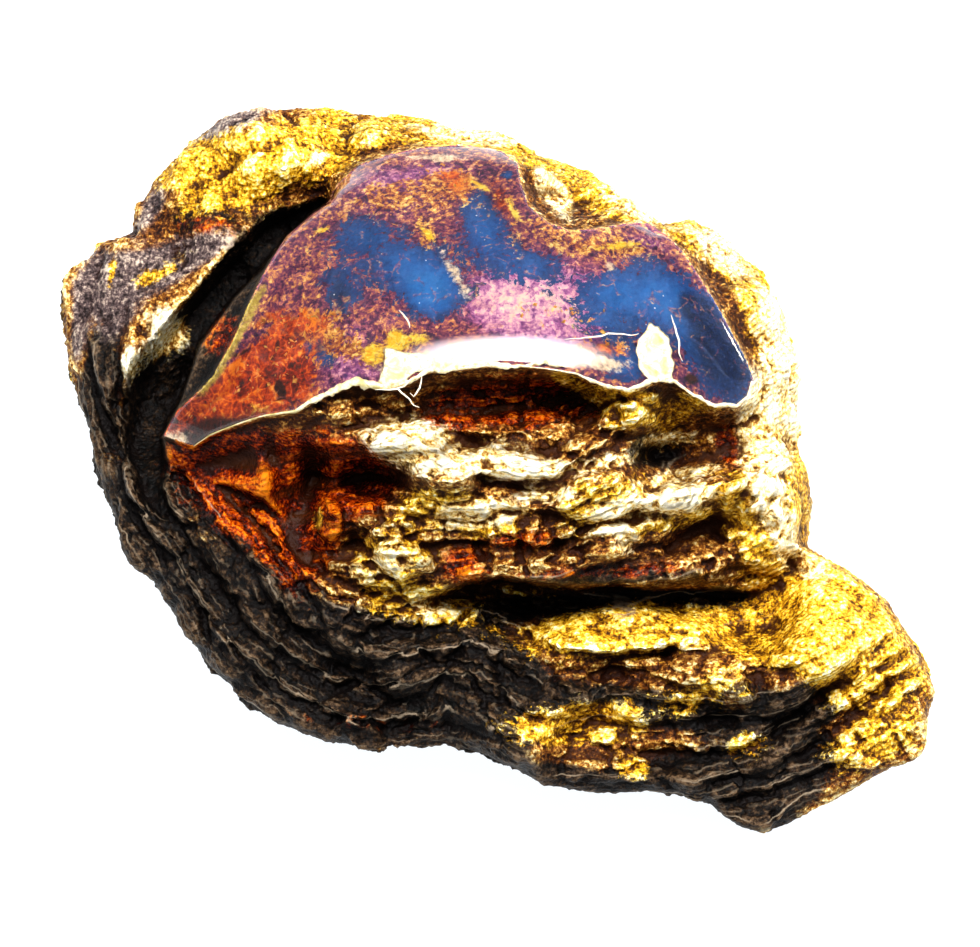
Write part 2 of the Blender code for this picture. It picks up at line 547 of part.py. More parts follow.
def nodule_points(directions):
    """Where each direction from the centre of a ball ends up on the nodule."""
    angle = np.arctan2(directions[:, 1], directions[:, 0])
    lift = directions[:, 2]
    front = lift >= 0
    sunk = np.clip(-lift, 0, 1)
    swells = smooth(sunk / SWELLS_FULL_AT) * noise(*(SWELL_BALL * directions.T), UNDERSIDE_SWELLS)
    share = np.hypot(directions[:, 0], directions[:, 1]) * (1 + SWELL_SPREAD * swells)
    rim_u, rim_v = rim_point(angle)
    pole_u, pole_v = (np.where(front, a, b) for a, b in zip(FRONT_POLE, UNDERSIDE_POLE))
    u = pole_u + share * (rim_u - pole_u)
    v = pole_v + share * (rim_v - pole_v)
    shown = rim_height(v) + (front_height(u, v) - rim_height(v)) * rounding(lift)
    hidden = rim_height(rim_v) * (1 - sunk**BOWL_POWER) - BOWL_SAG * sunk**3
    hidden = hidden - SWELL_HEIGHT * (1 - SWELLS_LOST_BELOW * sunk) * swells
    points = place(u, v, np.where(front, shown, hidden))
    out = smooth(-inside_distance(u, v, WINDOW))
    crust = np.maximum(out * np.maximum(*crust_shares(u, v)), fade(lift, KNOBS_TO_FRONT))
    crust = crust * fade(np.abs(lift), KNOBS_FROM_RIM)
    return points + crust_knobs(points, directions, crust)


def clear_scene():
    for obj in list(bpy.data.objects):
        bpy.data.objects.remove(obj)


def new_collection(name):
    collection = bpy.data.collections.new(name)
    bpy.context.scene.collection.children.link(collection)
    return collection


def amber_material():
    material = bpy.data.materials.new("raw_amber")
    material.use_nodes = True
    shader = material.node_tree.nodes["Principled BSDF"]
    shader.inputs["Base Color"].default_value = (0.42, 0.24, 0.06, 1)
    shader.inputs["Roughness"].default_value = 0.6
    shader.inputs["Metallic"].default_value = 0.0
    return material


def table_cutter(collection):
    """A block under the table's surface, which leaves the nodule its flat resting spot."""
    size = TABLE_BLOCK * MM
    bpy.ops.mesh.primitive_cube_add(size=size, location=(0, 0, -size / 2))
    cutter = bpy.context.object
    cutter.name = "table_cutter"
    for holder in list(cutter.users_collection):
        holder.objects.unlink(cutter)
    collection.objects.link(cutter)
    cutter.hide_render = True
    cutter.display_type = "WIRE"
    return cutter


def amber_piece(collection, cutter):
    """A ball pushed out to the nodule's relief, remeshed evenly, thinned and cut flat below."""
    shape = bmesh.new()
    bmesh.ops.create_icosphere(shape, subdivisions=BALL_SUBDIVISIONS, radius=1.0)
    directions = np.array([vertex.co for vertex in shape.verts])
    for vertex, point in zip(shape.verts, nodule_points(directions)):
        vertex.co = point * MM
    mesh = bpy.data.meshes.new("amber_piece")
    shape.to_mesh(mesh)
    shape.free()
    piece = bpy.data.objects.new("amber_piece", mesh)
    collection.objects.link(piece)
    mesh.materials.append(amber_material())

    even = piece.modifiers.new("even", "REMESH")
    even.mode = "VOXEL"
    even.voxel_size = VOXEL * MM
    bpy.context.view_layer.update()
    evaluated = piece.evaluated_get(bpy.context.evaluated_depsgraph_get())
    even_triangles = 2 * len(evaluated.data.polygons)

    thinned = piece.modifiers.new("thinned", "DECIMATE")
    thinned.ratio = KEPT_FACES / even_triangles
    resting = piece.modifiers.new("resting", "BOOLEAN")
    resting.operation = "DIFFERENCE"
    resting.object = cutter
    return piece


def main():
    clear_scene()
    cutter = table_cutter(new_collection("cutters"))
    amber_piece(new_collection("raw_amber_piece"), cutter)


main()
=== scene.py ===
"""A raw amber nodule: its weathered crust, the broken face, and the clear polished window on top.

Lengths are in mm until the meshes are made. The relief is laid out in the plane of a viewer who looks at the
nodule along +Y from VIEW_TILT above the table. In that plane u points right and v points up, and a height z
above the table belongs to each (u, v) of the side that the viewer sees.
"""

import math

import bmesh
import bpy
import numpy as np
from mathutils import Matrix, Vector
from mathutils.geometry import delaunay_2d_cdt


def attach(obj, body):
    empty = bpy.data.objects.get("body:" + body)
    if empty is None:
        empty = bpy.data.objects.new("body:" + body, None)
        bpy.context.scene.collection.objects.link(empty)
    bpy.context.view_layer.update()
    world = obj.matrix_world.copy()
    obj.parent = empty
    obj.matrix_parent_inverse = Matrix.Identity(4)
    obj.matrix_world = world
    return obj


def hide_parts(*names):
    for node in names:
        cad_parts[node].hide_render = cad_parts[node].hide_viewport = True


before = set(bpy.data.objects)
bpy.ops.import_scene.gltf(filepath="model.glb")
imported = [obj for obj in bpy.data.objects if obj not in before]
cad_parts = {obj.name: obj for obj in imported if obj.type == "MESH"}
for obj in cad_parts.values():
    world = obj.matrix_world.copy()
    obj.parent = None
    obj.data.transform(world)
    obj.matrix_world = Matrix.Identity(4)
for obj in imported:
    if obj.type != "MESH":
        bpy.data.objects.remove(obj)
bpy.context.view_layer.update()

MM = 0.001
VIEW_TILT = math.radians(60)
PIVOT_HEIGHT = 10.0  # the height at which v = 0 lies over y = 0
FOOTPRINT_SHIFT = (-0.32, -2.16)  # moves the nodule so that its box stands centred on the origin

BALL_SUBDIVISIONS = 9
VOXEL = 0.1
KEPT_FACES = 560000

# The outline that the viewer sees, counterclockwise from the left end.
OUTLINE = (
    (-23.6, 8.3), (-23.4, 6.2), (-22.8, 4.0), (-21.9, 1.8), (-21.2, -1.3), (-20.2, -3.7), (-18.5, -6.0),
    (-17.0, -8.3), (-15.5, -10.4), (-13.6, -12.3), (-11.5, -13.8), (-9.9, -14.3), (-7.2, -15.0),
    (-5.0, -14.9), (-2.4, -14.5), (-0.6, -15.2), (1.4, -16.2), (3.0, -17.0), (5.8, -17.5), (8.5, -17.4),
    (10.4, -17.5), (12.0, -18.1), (13.5, -19.2), (15.0, -19.7), (16.5, -19.1), (18.0, -18.0), (19.7, -17.3),
    (21.7, -16.3), (22.8, -15.3), (23.9, -13.7), (24.5, -12.0), (23.9, -10.4), (22.8, -8.7), (21.9, -7.0),
    (19.8, -5.5), (17.5, -4.1), (17.7, -1.7), (17.3, 0.3), (16.7, 1.8), (17.0, 4.0), (16.9, 6.5),
    (16.3, 8.4), (15.2, 10.4), (13.9, 12.1), (12.5, 13.5), (11.0, 13.9), (9.6, 13.8), (8.0, 14.7),
    (6.3, 15.9), (4.5, 16.8), (2.6, 17.7), (0.7, 18.6), (-1.8, 19.0), (-4.2, 19.5), (-7.0, 20.0),
    (-9.9, 19.9), (-13.2, 20.0), (-15.2, 19.5), (-16.9, 18.1), (-18.5, 16.5), (-19.6, 14.7), (-19.9, 13.4),
    (-21.7, 12.7), (-23.2, 10.4),
)
FRONT_POLE = (0.5, 1.8)
UNDERSIDE_POLE = (-0.9, -1.4)

# The outline lies RIM_HEIGHT above the table at v = 0 and climbs with v. From there the front rises to its
# full height while the ball that it is formed from rises by FULL_AT_LIFT.
RIM_HEIGHT = 7.5
RIM_CLIMB = 0.25
FULL_AT_LIFT = 0.42
SHOULDER = 0.9

# The side that the viewer doesn't see: a bowl below the rim that would reach BOWL_SAG below the table, with
# swells that grow from nothing at the rim and are flatter underneath.
BOWL_POWER = 1.3
BOWL_SAG = 0.55
SWELL_BALL = 20.0
SWELL_HEIGHT = 1.4
SWELL_SPREAD = 0.13
SWELLS_FULL_AT = 0.45
SWELLS_LOST_BELOW = 0.8

# The crust stands out in round knobs with creases between them, square to an egg with the half axes EGG.
# They fade out at the rim, so that the outline stays, and towards the side that the viewer sees best.
EGG = (23.0, 18.0, 11.0)
KNOB_LEVEL = 0.32
KNOBS_FROM_RIM = (0.0, 0.16)
KNOBS_TO_FRONT = (0.4, 0.15)

# The edge of the polished window: its left tip, then along the chipped lower edge.
WINDOW = (
    (-17.9, 2.1), (-16.2, 1.5), (-15.3, 2.1), (-14.0, 2.6), (-12.5, 3.1), (-10.6, 3.4), (-9.1, 4.2),
    (-7.2, 5.0), (-5.6, 4.7), (-4.3, 5.0), (-3.3, 5.6), (-1.6, 5.7), (0.6, 5.9), (2.8, 5.7), (4.7, 5.4),
    (6.0, 4.8), (7.5, 4.5), (8.9, 5.1), (10.0, 5.0), (11.0, 4.3), (12.2, 3.7), (13.4, 3.7), (14.0, 4.2),
    (14.3, 5.1), (13.9, 6.2), (12.3, 9.2), (10.5, 12.1), (9.6, 13.0), (8.6, 13.7), (7.3, 13.6), (5.6, 13.3),
    (4.3, 13.2), (3.1, 13.7), (2.1, 14.6), (1.7, 15.8), (1.5, 17.0), (0.7, 17.7), (-1.1, 18.1),
    (-3.3, 18.0), (-5.4, 17.6), (-7.2, 17.0), (-8.4, 15.9), (-9.0, 14.9), (-9.8, 14.3), (-11.2, 13.0),
    (-12.5, 10.6), (-13.2, 9.1), (-14.0, 7.2), (-15.1, 5.3), (-16.1, 4.3), (-17.1, 3.4),
)

# The window's dome: the top, its place, and how fast it falls away along u and v.
DOME_TOP = 23.3
DOME_AT = (1.0, 9.0)
DOME_FALL = (0.0204, 0.055)
STRAIGHT_BELOW = 9.0  # under this distance from the top the face goes on straight

# The edge of the raised cap that holds the window, the broken face and the right-hand crust. Its lower
# lip overhangs the groove. At the top and the right it runs past the outline, where the cap has no edge.
CAP = (
    (-18.1, 2.0), (-17.9, 0.8), (-17.2, 0.1), (-15.7, -0.5), (-14.0, -0.8), (-12.5, -1.5), (-11.6, -2.3),
    (-11.2, -3.9), (-10.4, -4.9), (-9.1, -5.4), (-7.2, -6.2), (-5.4, -6.5), (-4.3, -7.1), (-2.8, -6.6),
    (-1.1, -6.0), (0.6, -5.7), (2.8, -6.1), (4.7, -6.3), (6.8, -6.1), (8.8, -6.4), (11.6, -6.3),
    (13.9, -6.5), (15.7, -6.1), (16.8, -5.2), (17.4, -4.3), (20.8, -3.6), (20.8, 7.9), (11.6, 16.6),
    (3.9, 20.4), (-8.2, 22.0), (-8.5, 17.8), (-8.8, 15.0), (-9.7, 14.4), (-11.2, 13.1), (-12.5, 11.2),
    (-14.0, 9.8), (-15.1, 8.3), (-16.0, 7.1), (-16.6, 5.4), (-17.1, 4.0), (-17.7, 2.9),
)
CAP_EDGE = 0.25  # half the width over which the cap's height gives way to its surroundings'
CAP_EDGE_TOP = 2.6  # what is added to that at the top, and at the right end
CAP_EDGE_RIGHT = 1.6

# Where things begin and where they are full, along u or v.
RIGHT_CRUST_U = (7.5, 10.5)
RIGHT_CRUST_V = (-4.0, 0.0)
RIGHT_CRUST_SLANT = 0.25
TOP_CRUST_V = (13.5, 16.0)
CAP_TOP_V = (15.0, 17.0)
CAP_RIGHT_U = (15.0, 17.0)
CAP_RIGHT_V = (0.0, -2.0)
GLASSY_U = (-8.0, -11.0)
LOBE_U = (0.0, 6.0)
LOBE_V = (-3.0, -6.0)
LAYERED_V = (10.0, 6.0)
GRAINY_V = (8.0, 12.0)

# The crust outside the window: it drops by CRUST_STEP within CRUST_STEP_WIDTH, and then slopes away.
CRUST_STEP = 1.6
CRUST_STEP_WIDTH = 0.6
CRUST_FALL_RIGHT = 1.3
CRUST_FALL_TOP = 0.4
DEEPEST_CRUST = 6.0
CRUST_LUMP_SHARE = 1.7
CRUST_LUMP_LEVEL = 0.3

# The broken face: it lies FACE_DROP under the dome's line, with a recess right under the window's lip.
FACE_DROP = 0.8
CHIP_WIDTH = 0.3
RECESS_DEPTH = 1.7
RECESS_AT = 1.5
RECESS_WIDTH = 1.1
RECESS_LEFT = (-9.0, -6.0)
RECESS_RIGHT = (9.5, 6.5)

# The layers show as ledges: (thickness, share of it that is riser, how far the slope becomes a step).
LAYER = (1.8, 0.3, 0.9)
THIN_LAYER = (0.62, 0.3, 0.8)
FACE_CLIMB = 0.06  # how the face's layers climb to the right, and the steeper climb at its right end
FACE_STEEPER_CLIMB = 0.2
FACE_STEEPEST_CLIMB = 0.28
FACE_STEEPER_FROM = 3.5
FACE_STEEPER_V = (-4.5, 0.5)
FACE_BEND = 0.25  # how much lumps and hollows bend the face's layers
FACE_LAYER_SHARE = 0.3
FACE_THIN_LAYER_SHARE = 0.7
SURROUND_LAYER_SHARE = 0.6
LOBE_LAYER_SHARE = 0.55
LOBE_CLIMB = 0.06  # the lobe's layers climb too, and more and more towards its end
LOBE_STEEPER_CLIMB = 0.5
LOBE_STEEPER_FROM = 15.0
LOBE_BEND = 0.45
GLASSY_SMOOTHNESS = 0.85

# Noise, as (height, size of the largest features, seed, octaves, how strong each finer octave is).
CRUST_KNOBS = (1.6, 3.3, 11, 2, 0.45)
EDGE_WANDER = (0.3, 1.3, 17, 3, 0.6)
FACE_WARP = (0.55, 3.2, 21, 4, 0.55)
FACE_LAYER_PATCHES = (0.5, 3.0, 24, 2, 0.5)
FACE_GRAIN = (0.3, 1.6, 25, 2, 0.5)
SURROUND_SWELL = (0.7, 5.5, 30, 2, 0.5)
LAYER_WARP = (0.9, 4.0, 31, 5, 0.55)
LAYER_PATCHES = (0.6, 4.0, 34, 2, 0.5)
THIN_LAYER_PATCHES = (0.8, 1.8, 36, 3, 0.55)
SURROUND_GRAIN = (0.25, 1.4, 51, 2, 0.5)
FLOOR_SWELL = (0.9, 2.6, 81, 4, 0.6)
LOBE_SWELL = (0.7, 3.0, 52, 2, 0.5)
UNDERSIDE_SWELLS = (1.0, 6.0, 61, 4, 0.55)

# How each finer octave is moved, and the large odd numbers that random numbers are stirred with.
OCTAVE_SHIFT = (7.3, -3.1, 1.7)
CELL_FACTORS = (374761393, 668265263, 1440662683)
SEED_FACTOR = 362437
STIR_FACTOR = 1274126177

# Blocks between cracks, as (height, length, width, seed). A crack's width is in shares of a block.
CRACK_WIDTH = 0.22
BLOCK_JITTER = 0.42
BLOCK_UNEVENNESS = 0.4
FACE_BLOCKS = (0.6, 2.3, 1.2, 61)
SMALL_FACE_BLOCKS = (0.2, 0.9, 0.5, 66)
LOBE_BLOCKS = (0.5, 2.0, 1.1, 71)
FLANK_BLOCKS = (0.75, 3.2, 1.5, 77)
SMALL_FLANK_BLOCKS = (0.3, 1.3, 0.6, 83)
FLANK_RADIUS = 17.0  # lengths along the flank are measured at this distance from the pole
FLANK_BEND = 0.5  # how much the blocks bend the flank's layers

# Fine relief, square to the surface: ledges as (thickness, height, share that is riser), and creased grain.
FACE_LEDGES = (0.34, 0.15, 0.3)
FLANK_LEDGES = (0.4, 0.17, 0.35)
LOBE_LEDGES = (0.42, 0.16, 0.35)
LEDGES = (FACE_LEDGES, FLANK_LEDGES, LOBE_LEDGES)
LEDGE_WARP = (0.3, 1.1, 41, 3, 0.6)
LEDGE_PATCHES = (0.5, 1.6, 44, 3, 0.55)
GRAIN = (1.0, 0.5, 15, 3, 0.62)
GRAIN_LEVEL = 0.25
CRUST_GRAIN = 0.3
LAYERED_GRAIN = 0.13
LEDGE_LEVEL = 0.6  # how much the thin ledges show, and how much of that is lost on crust
LEDGE_LOSS_ON_CRUST = 0.8
GLASSY_EDGE = (-0.3, 0.3)  # how the glassy part ends at the cap's edge
ROUGH_FROM_WINDOW = 0.2  # the grain begins at the window's edge and is full at this distance

# Under the window the rind falls away from the edge to a floor that the clear amber lies on.
LIP_DROP = 0.12
LIP_WIDTH = 0.12
FLOOR_DEPTH = 1.5
FLOOR_SLOPE_WIDTH = 2.6

# Heights around the cap, as (u, v, z). Each counts within about HEIGHT_REACH of its place.
UPPER_LEFT_HEIGHTS = (
    (-8.8, 19.2, 16.0), (-12.1, 17.2, 17.0), (-15.9, 15.6, 15.0), (-18.4, 13.1, 13.0), (-13.8, 13.1, 15.5),
    (-10.9, 14.4, 14.0), (-14.9, 10.6, 14.0), (-17.1, 9.0, 14.0), (-19.3, 6.6, 13.2), (-20.6, 10.9, 12.5),
    (-22.3, 9.5, 10.5), (-21.9, 5.7, 10.4), (-18.1, 4.0, 10.0), (-20.9, 1.8, 9.6),
)
FLANK_HEIGHTS = (
    (-19.2, -2.0, 9.0), (-16.8, -5.3, 8.5), (-17.6, -0.9, 11.5), (-14.3, -2.6, 11.5), (-12.4, -5.6, 11.0),
    (-14.6, -8.1, 8.5), (-11.0, -9.2, 9.0), (-8.0, -7.0, 11.0), (-11.0, -11.9, 6.5), (-7.7, -12.5, 6.5),
    (-5.0, -9.2, 9.5), (-3.6, -7.8, 10.5), (-2.2, -11.4, 8.0), (-3.3, -13.7, 5.0), (-0.6, -9.2, 9.5),
    (1.6, -12.5, 8.0),
)
LOBE_HEIGHTS = (
    (4.4, -9.2, 9.8), (8.2, -8.4, 9.7), (11.6, -9.2, 10.5), (18.1, -6.4, 9.5), (20.9, -8.3, 9.0),
    (18.1, -9.7, 10.5), (14.8, -11.4, 9.5), (8.2, -11.4, 8.5), (6.0, -14.9, 5.5), (11.6, -14.7, 6.5),
    (15.9, -14.7, 7.0), (20.1, -12.5, 8.0), (22.8, -11.6, 6.5), (21.2, -14.7, 6.2), (17.1, -17.4, 5.0),
    (13.8, -18.0, 4.6), (8.8, -16.3, 5.2),
)
GROOVE_HEIGHTS = (
    (-1.8, -7.2, 8.2), (0.0, -6.9, 7.2), (2.8, -7.2, 7.0), (5.2, -7.1, 7.0), (8.4, -7.0, 7.2),
    (11.4, -7.0, 6.6), (13.4, -7.6, 6.2), (15.0, -6.9, 6.6),
)
HEIGHT_REACH = 1.35

# A plate's edge, and how much lower than its middle it lies there, in shares of its half width and height.
PLATE_EDGE = (1.15, 0.8)
PLATE_CROWN = 0.3

# Lumps and hollows, as (u, v, half length, half width, turn in degrees, height).
CRUST_LUMPS = (
    (9.2, 14.2, 1.3, 1.3, 0, 0.9), (11.3, 13.1, 1.2, 1.2, 0, 1.1), (13.0, 11.6, 1.2, 1.2, 0, 0.8),
    (13.9, 9.9, 1.1, 1.1, 0, 1.0), (15.4, 8.6, 1.2, 1.2, 0, 1.1), (15.0, 6.7, 1.0, 1.0, 0, 0.7),
    (16.2, 5.6, 1.2, 1.2, 0, 1.0), (16.0, 3.4, 1.3, 1.3, 0, 1.0), (16.5, 1.0, 1.2, 1.2, 0, 0.8),
    (16.9, -1.8, 1.4, 1.4, 0, 0.8), (-6.9, 18.7, 1.6, 1.6, 0, 1.0), (-3.6, 18.9, 1.3, 1.3, 0, 0.5),
    (7.4, 15.2, 1.2, 1.2, 0, 0.7), (2.6, 16.7, 1.2, 1.2, 0, 0.7), (5.2, 14.6, 2.3, 1.0, -22, -1.9),
)
GLASSY_SCOOPS = (
    (-13.6, 0.8, 3.0, 1.1, 14, -1.5), (-12.3, -0.2, 0.5, 1.6, 8, 0.8), (-11.0, -1.2, 1.1, 2.6, 12, -1.5),
)
FACE_HOLLOWS = (
    (-7.0, -0.3, 2.5, 1.3, 3, -4.6), (-9.8, -0.3, 0.9, 2.2, 0, -2.6), (-7.4, -3.6, 0.7, 0.7, 0, -1.5),
    (0.6, 3.2, 3.2, 1.5, -12, -2.2), (4.1, 4.0, 2.0, 1.2, 0, -2.6), (-1.6, 1.9, 2.4, 0.8, -38, -1.8),
    (9.0, 1.2, 1.4, 1.0, 0, -3.6), (11.0, 1.2, 1.6, 0.9, 0, -1.8), (12.6, 1.9, 1.4, 1.1, 0, -0.8),
    (-1.4, -3.9, 2.0, 1.1, 0, -1.0), (11.6, -3.1, 3.0, 0.7, 10, -1.0),
)
FACE_PLATES = (
    (-4.2, 0.8, 3.3, 1.1, -27, 1.1), (-2.5, -0.4, 2.0, 1.2, -4, 1.1), (5.9, -1.2, 2.5, 1.4, 6, 1.6),
    (6.6, -3.7, 1.8, 1.0, 12, 1.3), (11.0, -1.1, 3.0, 0.8, 12, 1.6), (7.1, 3.1, 1.5, 0.7, 12, 1.4),
    (10.4, 3.8, 2.3, 0.6, -8, 1.0), (14.8, -2.6, 2.3, 2.8, 15, 1.6), (-4.7, -4.6, 1.7, 1.1, -20, 1.8),
    (-7.6, -5.5, 1.5, 0.7, -12, 1.2), (-5.2, -3.0, 1.3, 0.5, 4, 1.0), (-8.8, -2.6, 0.7, 1.2, 0, 1.0),
    (0.6, -3.7, 0.9, 1.4, 4, 0.7), (2.6, -3.9, 0.8, 1.4, -6, 0.9), (4.2, -3.7, 0.7, 1.3, 8, 0.5),
    (8.9, -3.2, 1.2, 0.8, 14, 1.0), (0.8, 0.6, 2.4, 0.9, -4, 1.1), (7.0, -5.2, 9.0, 0.9, 1, 0.8),
)
LOBE_PLATES = (
    (7.4, -8.6, 4.7, 1.3, 2, 1.1), (3.4, -12.3, 2.5, 1.1, -6, 1.2), (9.4, -10.9, 2.2, 0.8, -8, 0.8),
    (9.3, -12.0, 1.4, 0.4, -12, 0.6), (6.3, -14.4, 0.8, 0.5, 8, 0.6), (11.0, -13.1, 1.0, 0.4, 8, 0.5),
    (17.4, -8.4, 4.2, 2.6, -32, 0.8), (2.6, -10.0, 0.5, 0.4, 0, 0.5),
)
LOBE_HOLLOWS = (
    (5.6, -10.9, 3.9, 0.9, 0, -1.5), (14.7, -11.8, 0.6, 1.2, 10, -1.1), (13.4, -13.3, 2.2, 0.6, 6, -1.1),
    (17.6, -12.6, 3.2, 0.45, 38, -1.5), (19.9, -13.2, 3.4, 0.5, 36, -1.4), (10.2, -15.6, 3.2, 0.7, 6, -0.9),
    (9.8, -9.7, 1.2, 0.25, 48, -0.9),
)

# Where the lobe has no layers and blocks: on its shoulder.
LOBE_SHOULDER = ((17.6, -6.4, 5.0, 2.6, -38, 1.0), (13.5, -8.3, 2.6, 1.2, -5, 0.6))

# The crevice left of the cap, as (u, v, half width, depth) from its upper end down. Its floor is flat out
# to CREVICE_FLOOR of the half width, and its walls end at CREVICE_WALL of it.
CREVICE = (
    (-9.4, 14.8, 0.4, 1.5), (-11.7, 13.5, 0.8, 3.0), (-14.0, 10.9, 0.9, 4.0), (-16.3, 8.0, 1.1, 3.8),
    (-18.0, 4.9, 1.6, 3.0), (-18.9, 1.6, 1.2, 2.2), (-18.6, -1.0, 0.6, 1.2), (-17.6, -2.4, 0.3, 0.4),
)
CREVICE_FLOOR = 0.58
CREVICE_WALL = 1.42
CREVICE_CALM = (1.0, 0.2)  # the layers and blocks fade out between these depths


def smooth(t):
    """0 below 0, 1 above 1, and an even rise between."""
    t = np.clip(t, 0.0, 1.0)
    return t * t * (3.0 - 2.0 * t)


def fade(value, ends):
    """0 at the first end, 1 at the other."""
    none_at, full_at = ends
    return smooth((value - none_at) / (full_at - none_at))


def bell(reach):
    return np.exp(-reach**2)


def plate(reach):
    """Crowned on top, with a steep edge."""
    return fade(reach, PLATE_EDGE) * (1 - PLATE_CROWN * reach**2)


def mounds(u, v, shapes, profile=bell):
    """The sum of ovals, each given as (u, v, half length, half width, turn in degrees, height)."""
    total = np.zeros_like(u)
    for at_u, at_v, length, width, turn, height in shapes:
        cos = math.cos(math.radians(turn))
        sin = math.sin(math.radians(turn))
        along = ((u - at_u) * cos + (v - at_v) * sin) / length
        across = ((v - at_v) * cos - (u - at_u) * sin) / width
        total += height * profile(np.hypot(along, across))
    return total


def place_on_line(u, v, start, end):
    """How far along a straight line, from 0 to 1, its nearest point to (u, v) lies, and how far away."""
    du = end[0] - start[0]
    dv = end[1] - start[1]
    along = np.clip(((u - start[0]) * du + (v - start[1]) * dv) / (du**2 + dv**2), 0, 1)
    return along, np.hypot(u - start[0] - along * du, v - start[1] - along * dv)


def inside_distance(u, v, outline):
    """The distance to a closed outline, positive inside it."""
    nearest = np.full(u.shape, np.inf)
    inside = np.zeros(u.shape, bool)
    for start, end in zip(outline, outline[1:] + outline[:1]):
        nearest = np.minimum(nearest, place_on_line(u, v, start, end)[1])
        if start[1] != end[1]:
            crossing_u = start[0] + (v - start[1]) * (end[0] - start[0]) / (end[1] - start[1])
            inside ^= ((start[1] > v) != (end[1] > v)) & (u < crossing_u)
    return np.where(inside, nearest, -nearest)


def crevice_depth(u, v):
    """How far the crevice goes down, with steep walls and a rounded floor."""
    depth = np.zeros_like(u)
    for start, end in zip(CREVICE, CREVICE[1:]):
        along, distance = place_on_line(u, v, start, end)
        half_width = start[2] + (end[2] - start[2]) * along
        floor_depth = start[3] + (end[3] - start[3]) * along
        depth = np.maximum(depth, floor_depth * fade(distance / half_width, (CREVICE_WALL, CREVICE_FLOOR)))
    return depth


def random_at(cells, seed):
    """A random number between -1 and 1 for each cell of a lattice."""
    key = sum(cell * factor for cell, factor in zip(cells, CELL_FACTORS))
    key = (key + seed * SEED_FACTOR) & 0xFFFFFFFF
    key = ((key ^ (key >> 13)) * STIR_FACTOR) & 0xFFFFFFFF
    return ((key ^ (key >> 16)) & 0xFFFF) / 32767.5 - 1.0


def lattice_noise(x, y, z, seed):
    """Smooth noise between -1 and 1 with features one unit wide."""
    cells = [np.floor(a).astype(np.int64) for a in (x, y, z)]
    parts = [a - cell for a, cell in zip((x, y, z), cells)]
    parts = [a**3 * (a * (a * 6 - 15) + 10) for a in parts]
    total = np.zeros_like(x)
    for corner in range(8):
        step = [corner & 1, corner >> 1 & 1, corner >> 2 & 1]
        value = random_at([cell + s for cell, s in zip(cells, step)], seed)
        for part, s in zip(parts, step):
            value = value * (part if s else 1 - part)
        total += value
    return total


def noise(x, y, z, pattern):
    """A noise pattern's height: large features, with finer and weaker ones on them."""
    height, size, seed, octaves, finer = pattern
    total = np.zeros_like(x)
    weight = 0.0
    for octave in range(octaves):
        scale = 2**octave / size
        strength = finer**octave
        moved = (a * scale + shift * octave for a, shift in zip((x, y, z), OCTAVE_SHIFT))
        total += strength * lattice_noise(*moved, seed + octave)
        weight += strength
    return height * total / weight


def flat_noise(u, v, pattern):
    return noise(u, v, np.zeros_like(u), pattern)


def blocks(u, v, pattern):
    """Lumps of uneven height with cracks between them."""
    height, length, width, seed = pattern
    x = u / length
    y = v / width
    nearest = np.full(u.shape, np.inf)
    second = np.full(u.shape, np.inf)
    own = np.zeros_like(u)
    for i in (-1, 0, 1):
        for j in (-1, 0, 1):
            cell = (np.floor(x).astype(np.int64) + i, np.floor(y).astype(np.int64) + j)
            middle_x = cell[0] + 0.5 + BLOCK_JITTER * random_at(cell, seed)
            middle_y = cell[1] + 0.5 + BLOCK_JITTER * random_at(cell, seed + 1)
            distance = np.hypot(x - middle_x, y - middle_y)
            closer = distance < nearest
            second = np.where(closer, nearest, np.minimum(second, distance))
            own = np.where(closer, random_at(cell, seed + 2), own)
            nearest = np.minimum(nearest, distance)
    level = 1 - BLOCK_UNEVENNESS + BLOCK_UNEVENNESS * own
    return height * level * smooth((second - nearest) / CRACK_WIDTH)


def sawtooth(layers, riser):
    """Falls from 0 through each layer, and is back at 0 at its end, the riser's top."""
    part = layers - np.floor(layers)
    return smooth((part - 1 + riser) / riser) - part


def terraced(z, bed, layer, amount):
    """Turns a slope into treads and risers along the layers, which are steps of bed."""
    thickness, riser, strength = layer
    return z + amount * strength * thickness * sawtooth(bed / thickness, riser)


def wandering(u, v):
    """The same places, moved unevenly, which makes the edges of the forms ragged."""
    return u + flat_noise(u, v, EDGE_WANDER), v + flat_noise(v, u, EDGE_WANDER)


def dome_height(u, v):
    """The window's dome, and its straight continuation down the broken face."""
    down = v - DOME_AT[1]
    fall = np.where(
        down < -STRAIGHT_BELOW,
        DOME_FALL[1] * STRAIGHT_BELOW * (-2 * down - STRAIGHT_BELOW),
        DOME_FALL[1] * down**2,
    )
    return DOME_TOP - DOME_FALL[0] * (u - DOME_AT[0]) ** 2 - fall


def face_forms(u, v):
    """The broken face's scoops, hollows and lumps."""
    at = wandering(u, v)
    return mounds(*at, GLASSY_SCOOPS + FACE_HOLLOWS) + mounds(*at, FACE_PLATES, plate)


def face_bed(u, v, forms):
    """The place across the face's layers, which lie level at the left and climb to the right."""
    steeper = FACE_STEEPER_CLIMB + FACE_STEEPEST_CLIMB * fade(v, FACE_STEEPER_V)
    climb = FACE_CLIMB * u + steeper * np.maximum(u - FACE_STEEPER_FROM, 0)
    return v - climb + FACE_BEND * forms + flat_noise(u, v, FACE_WARP)


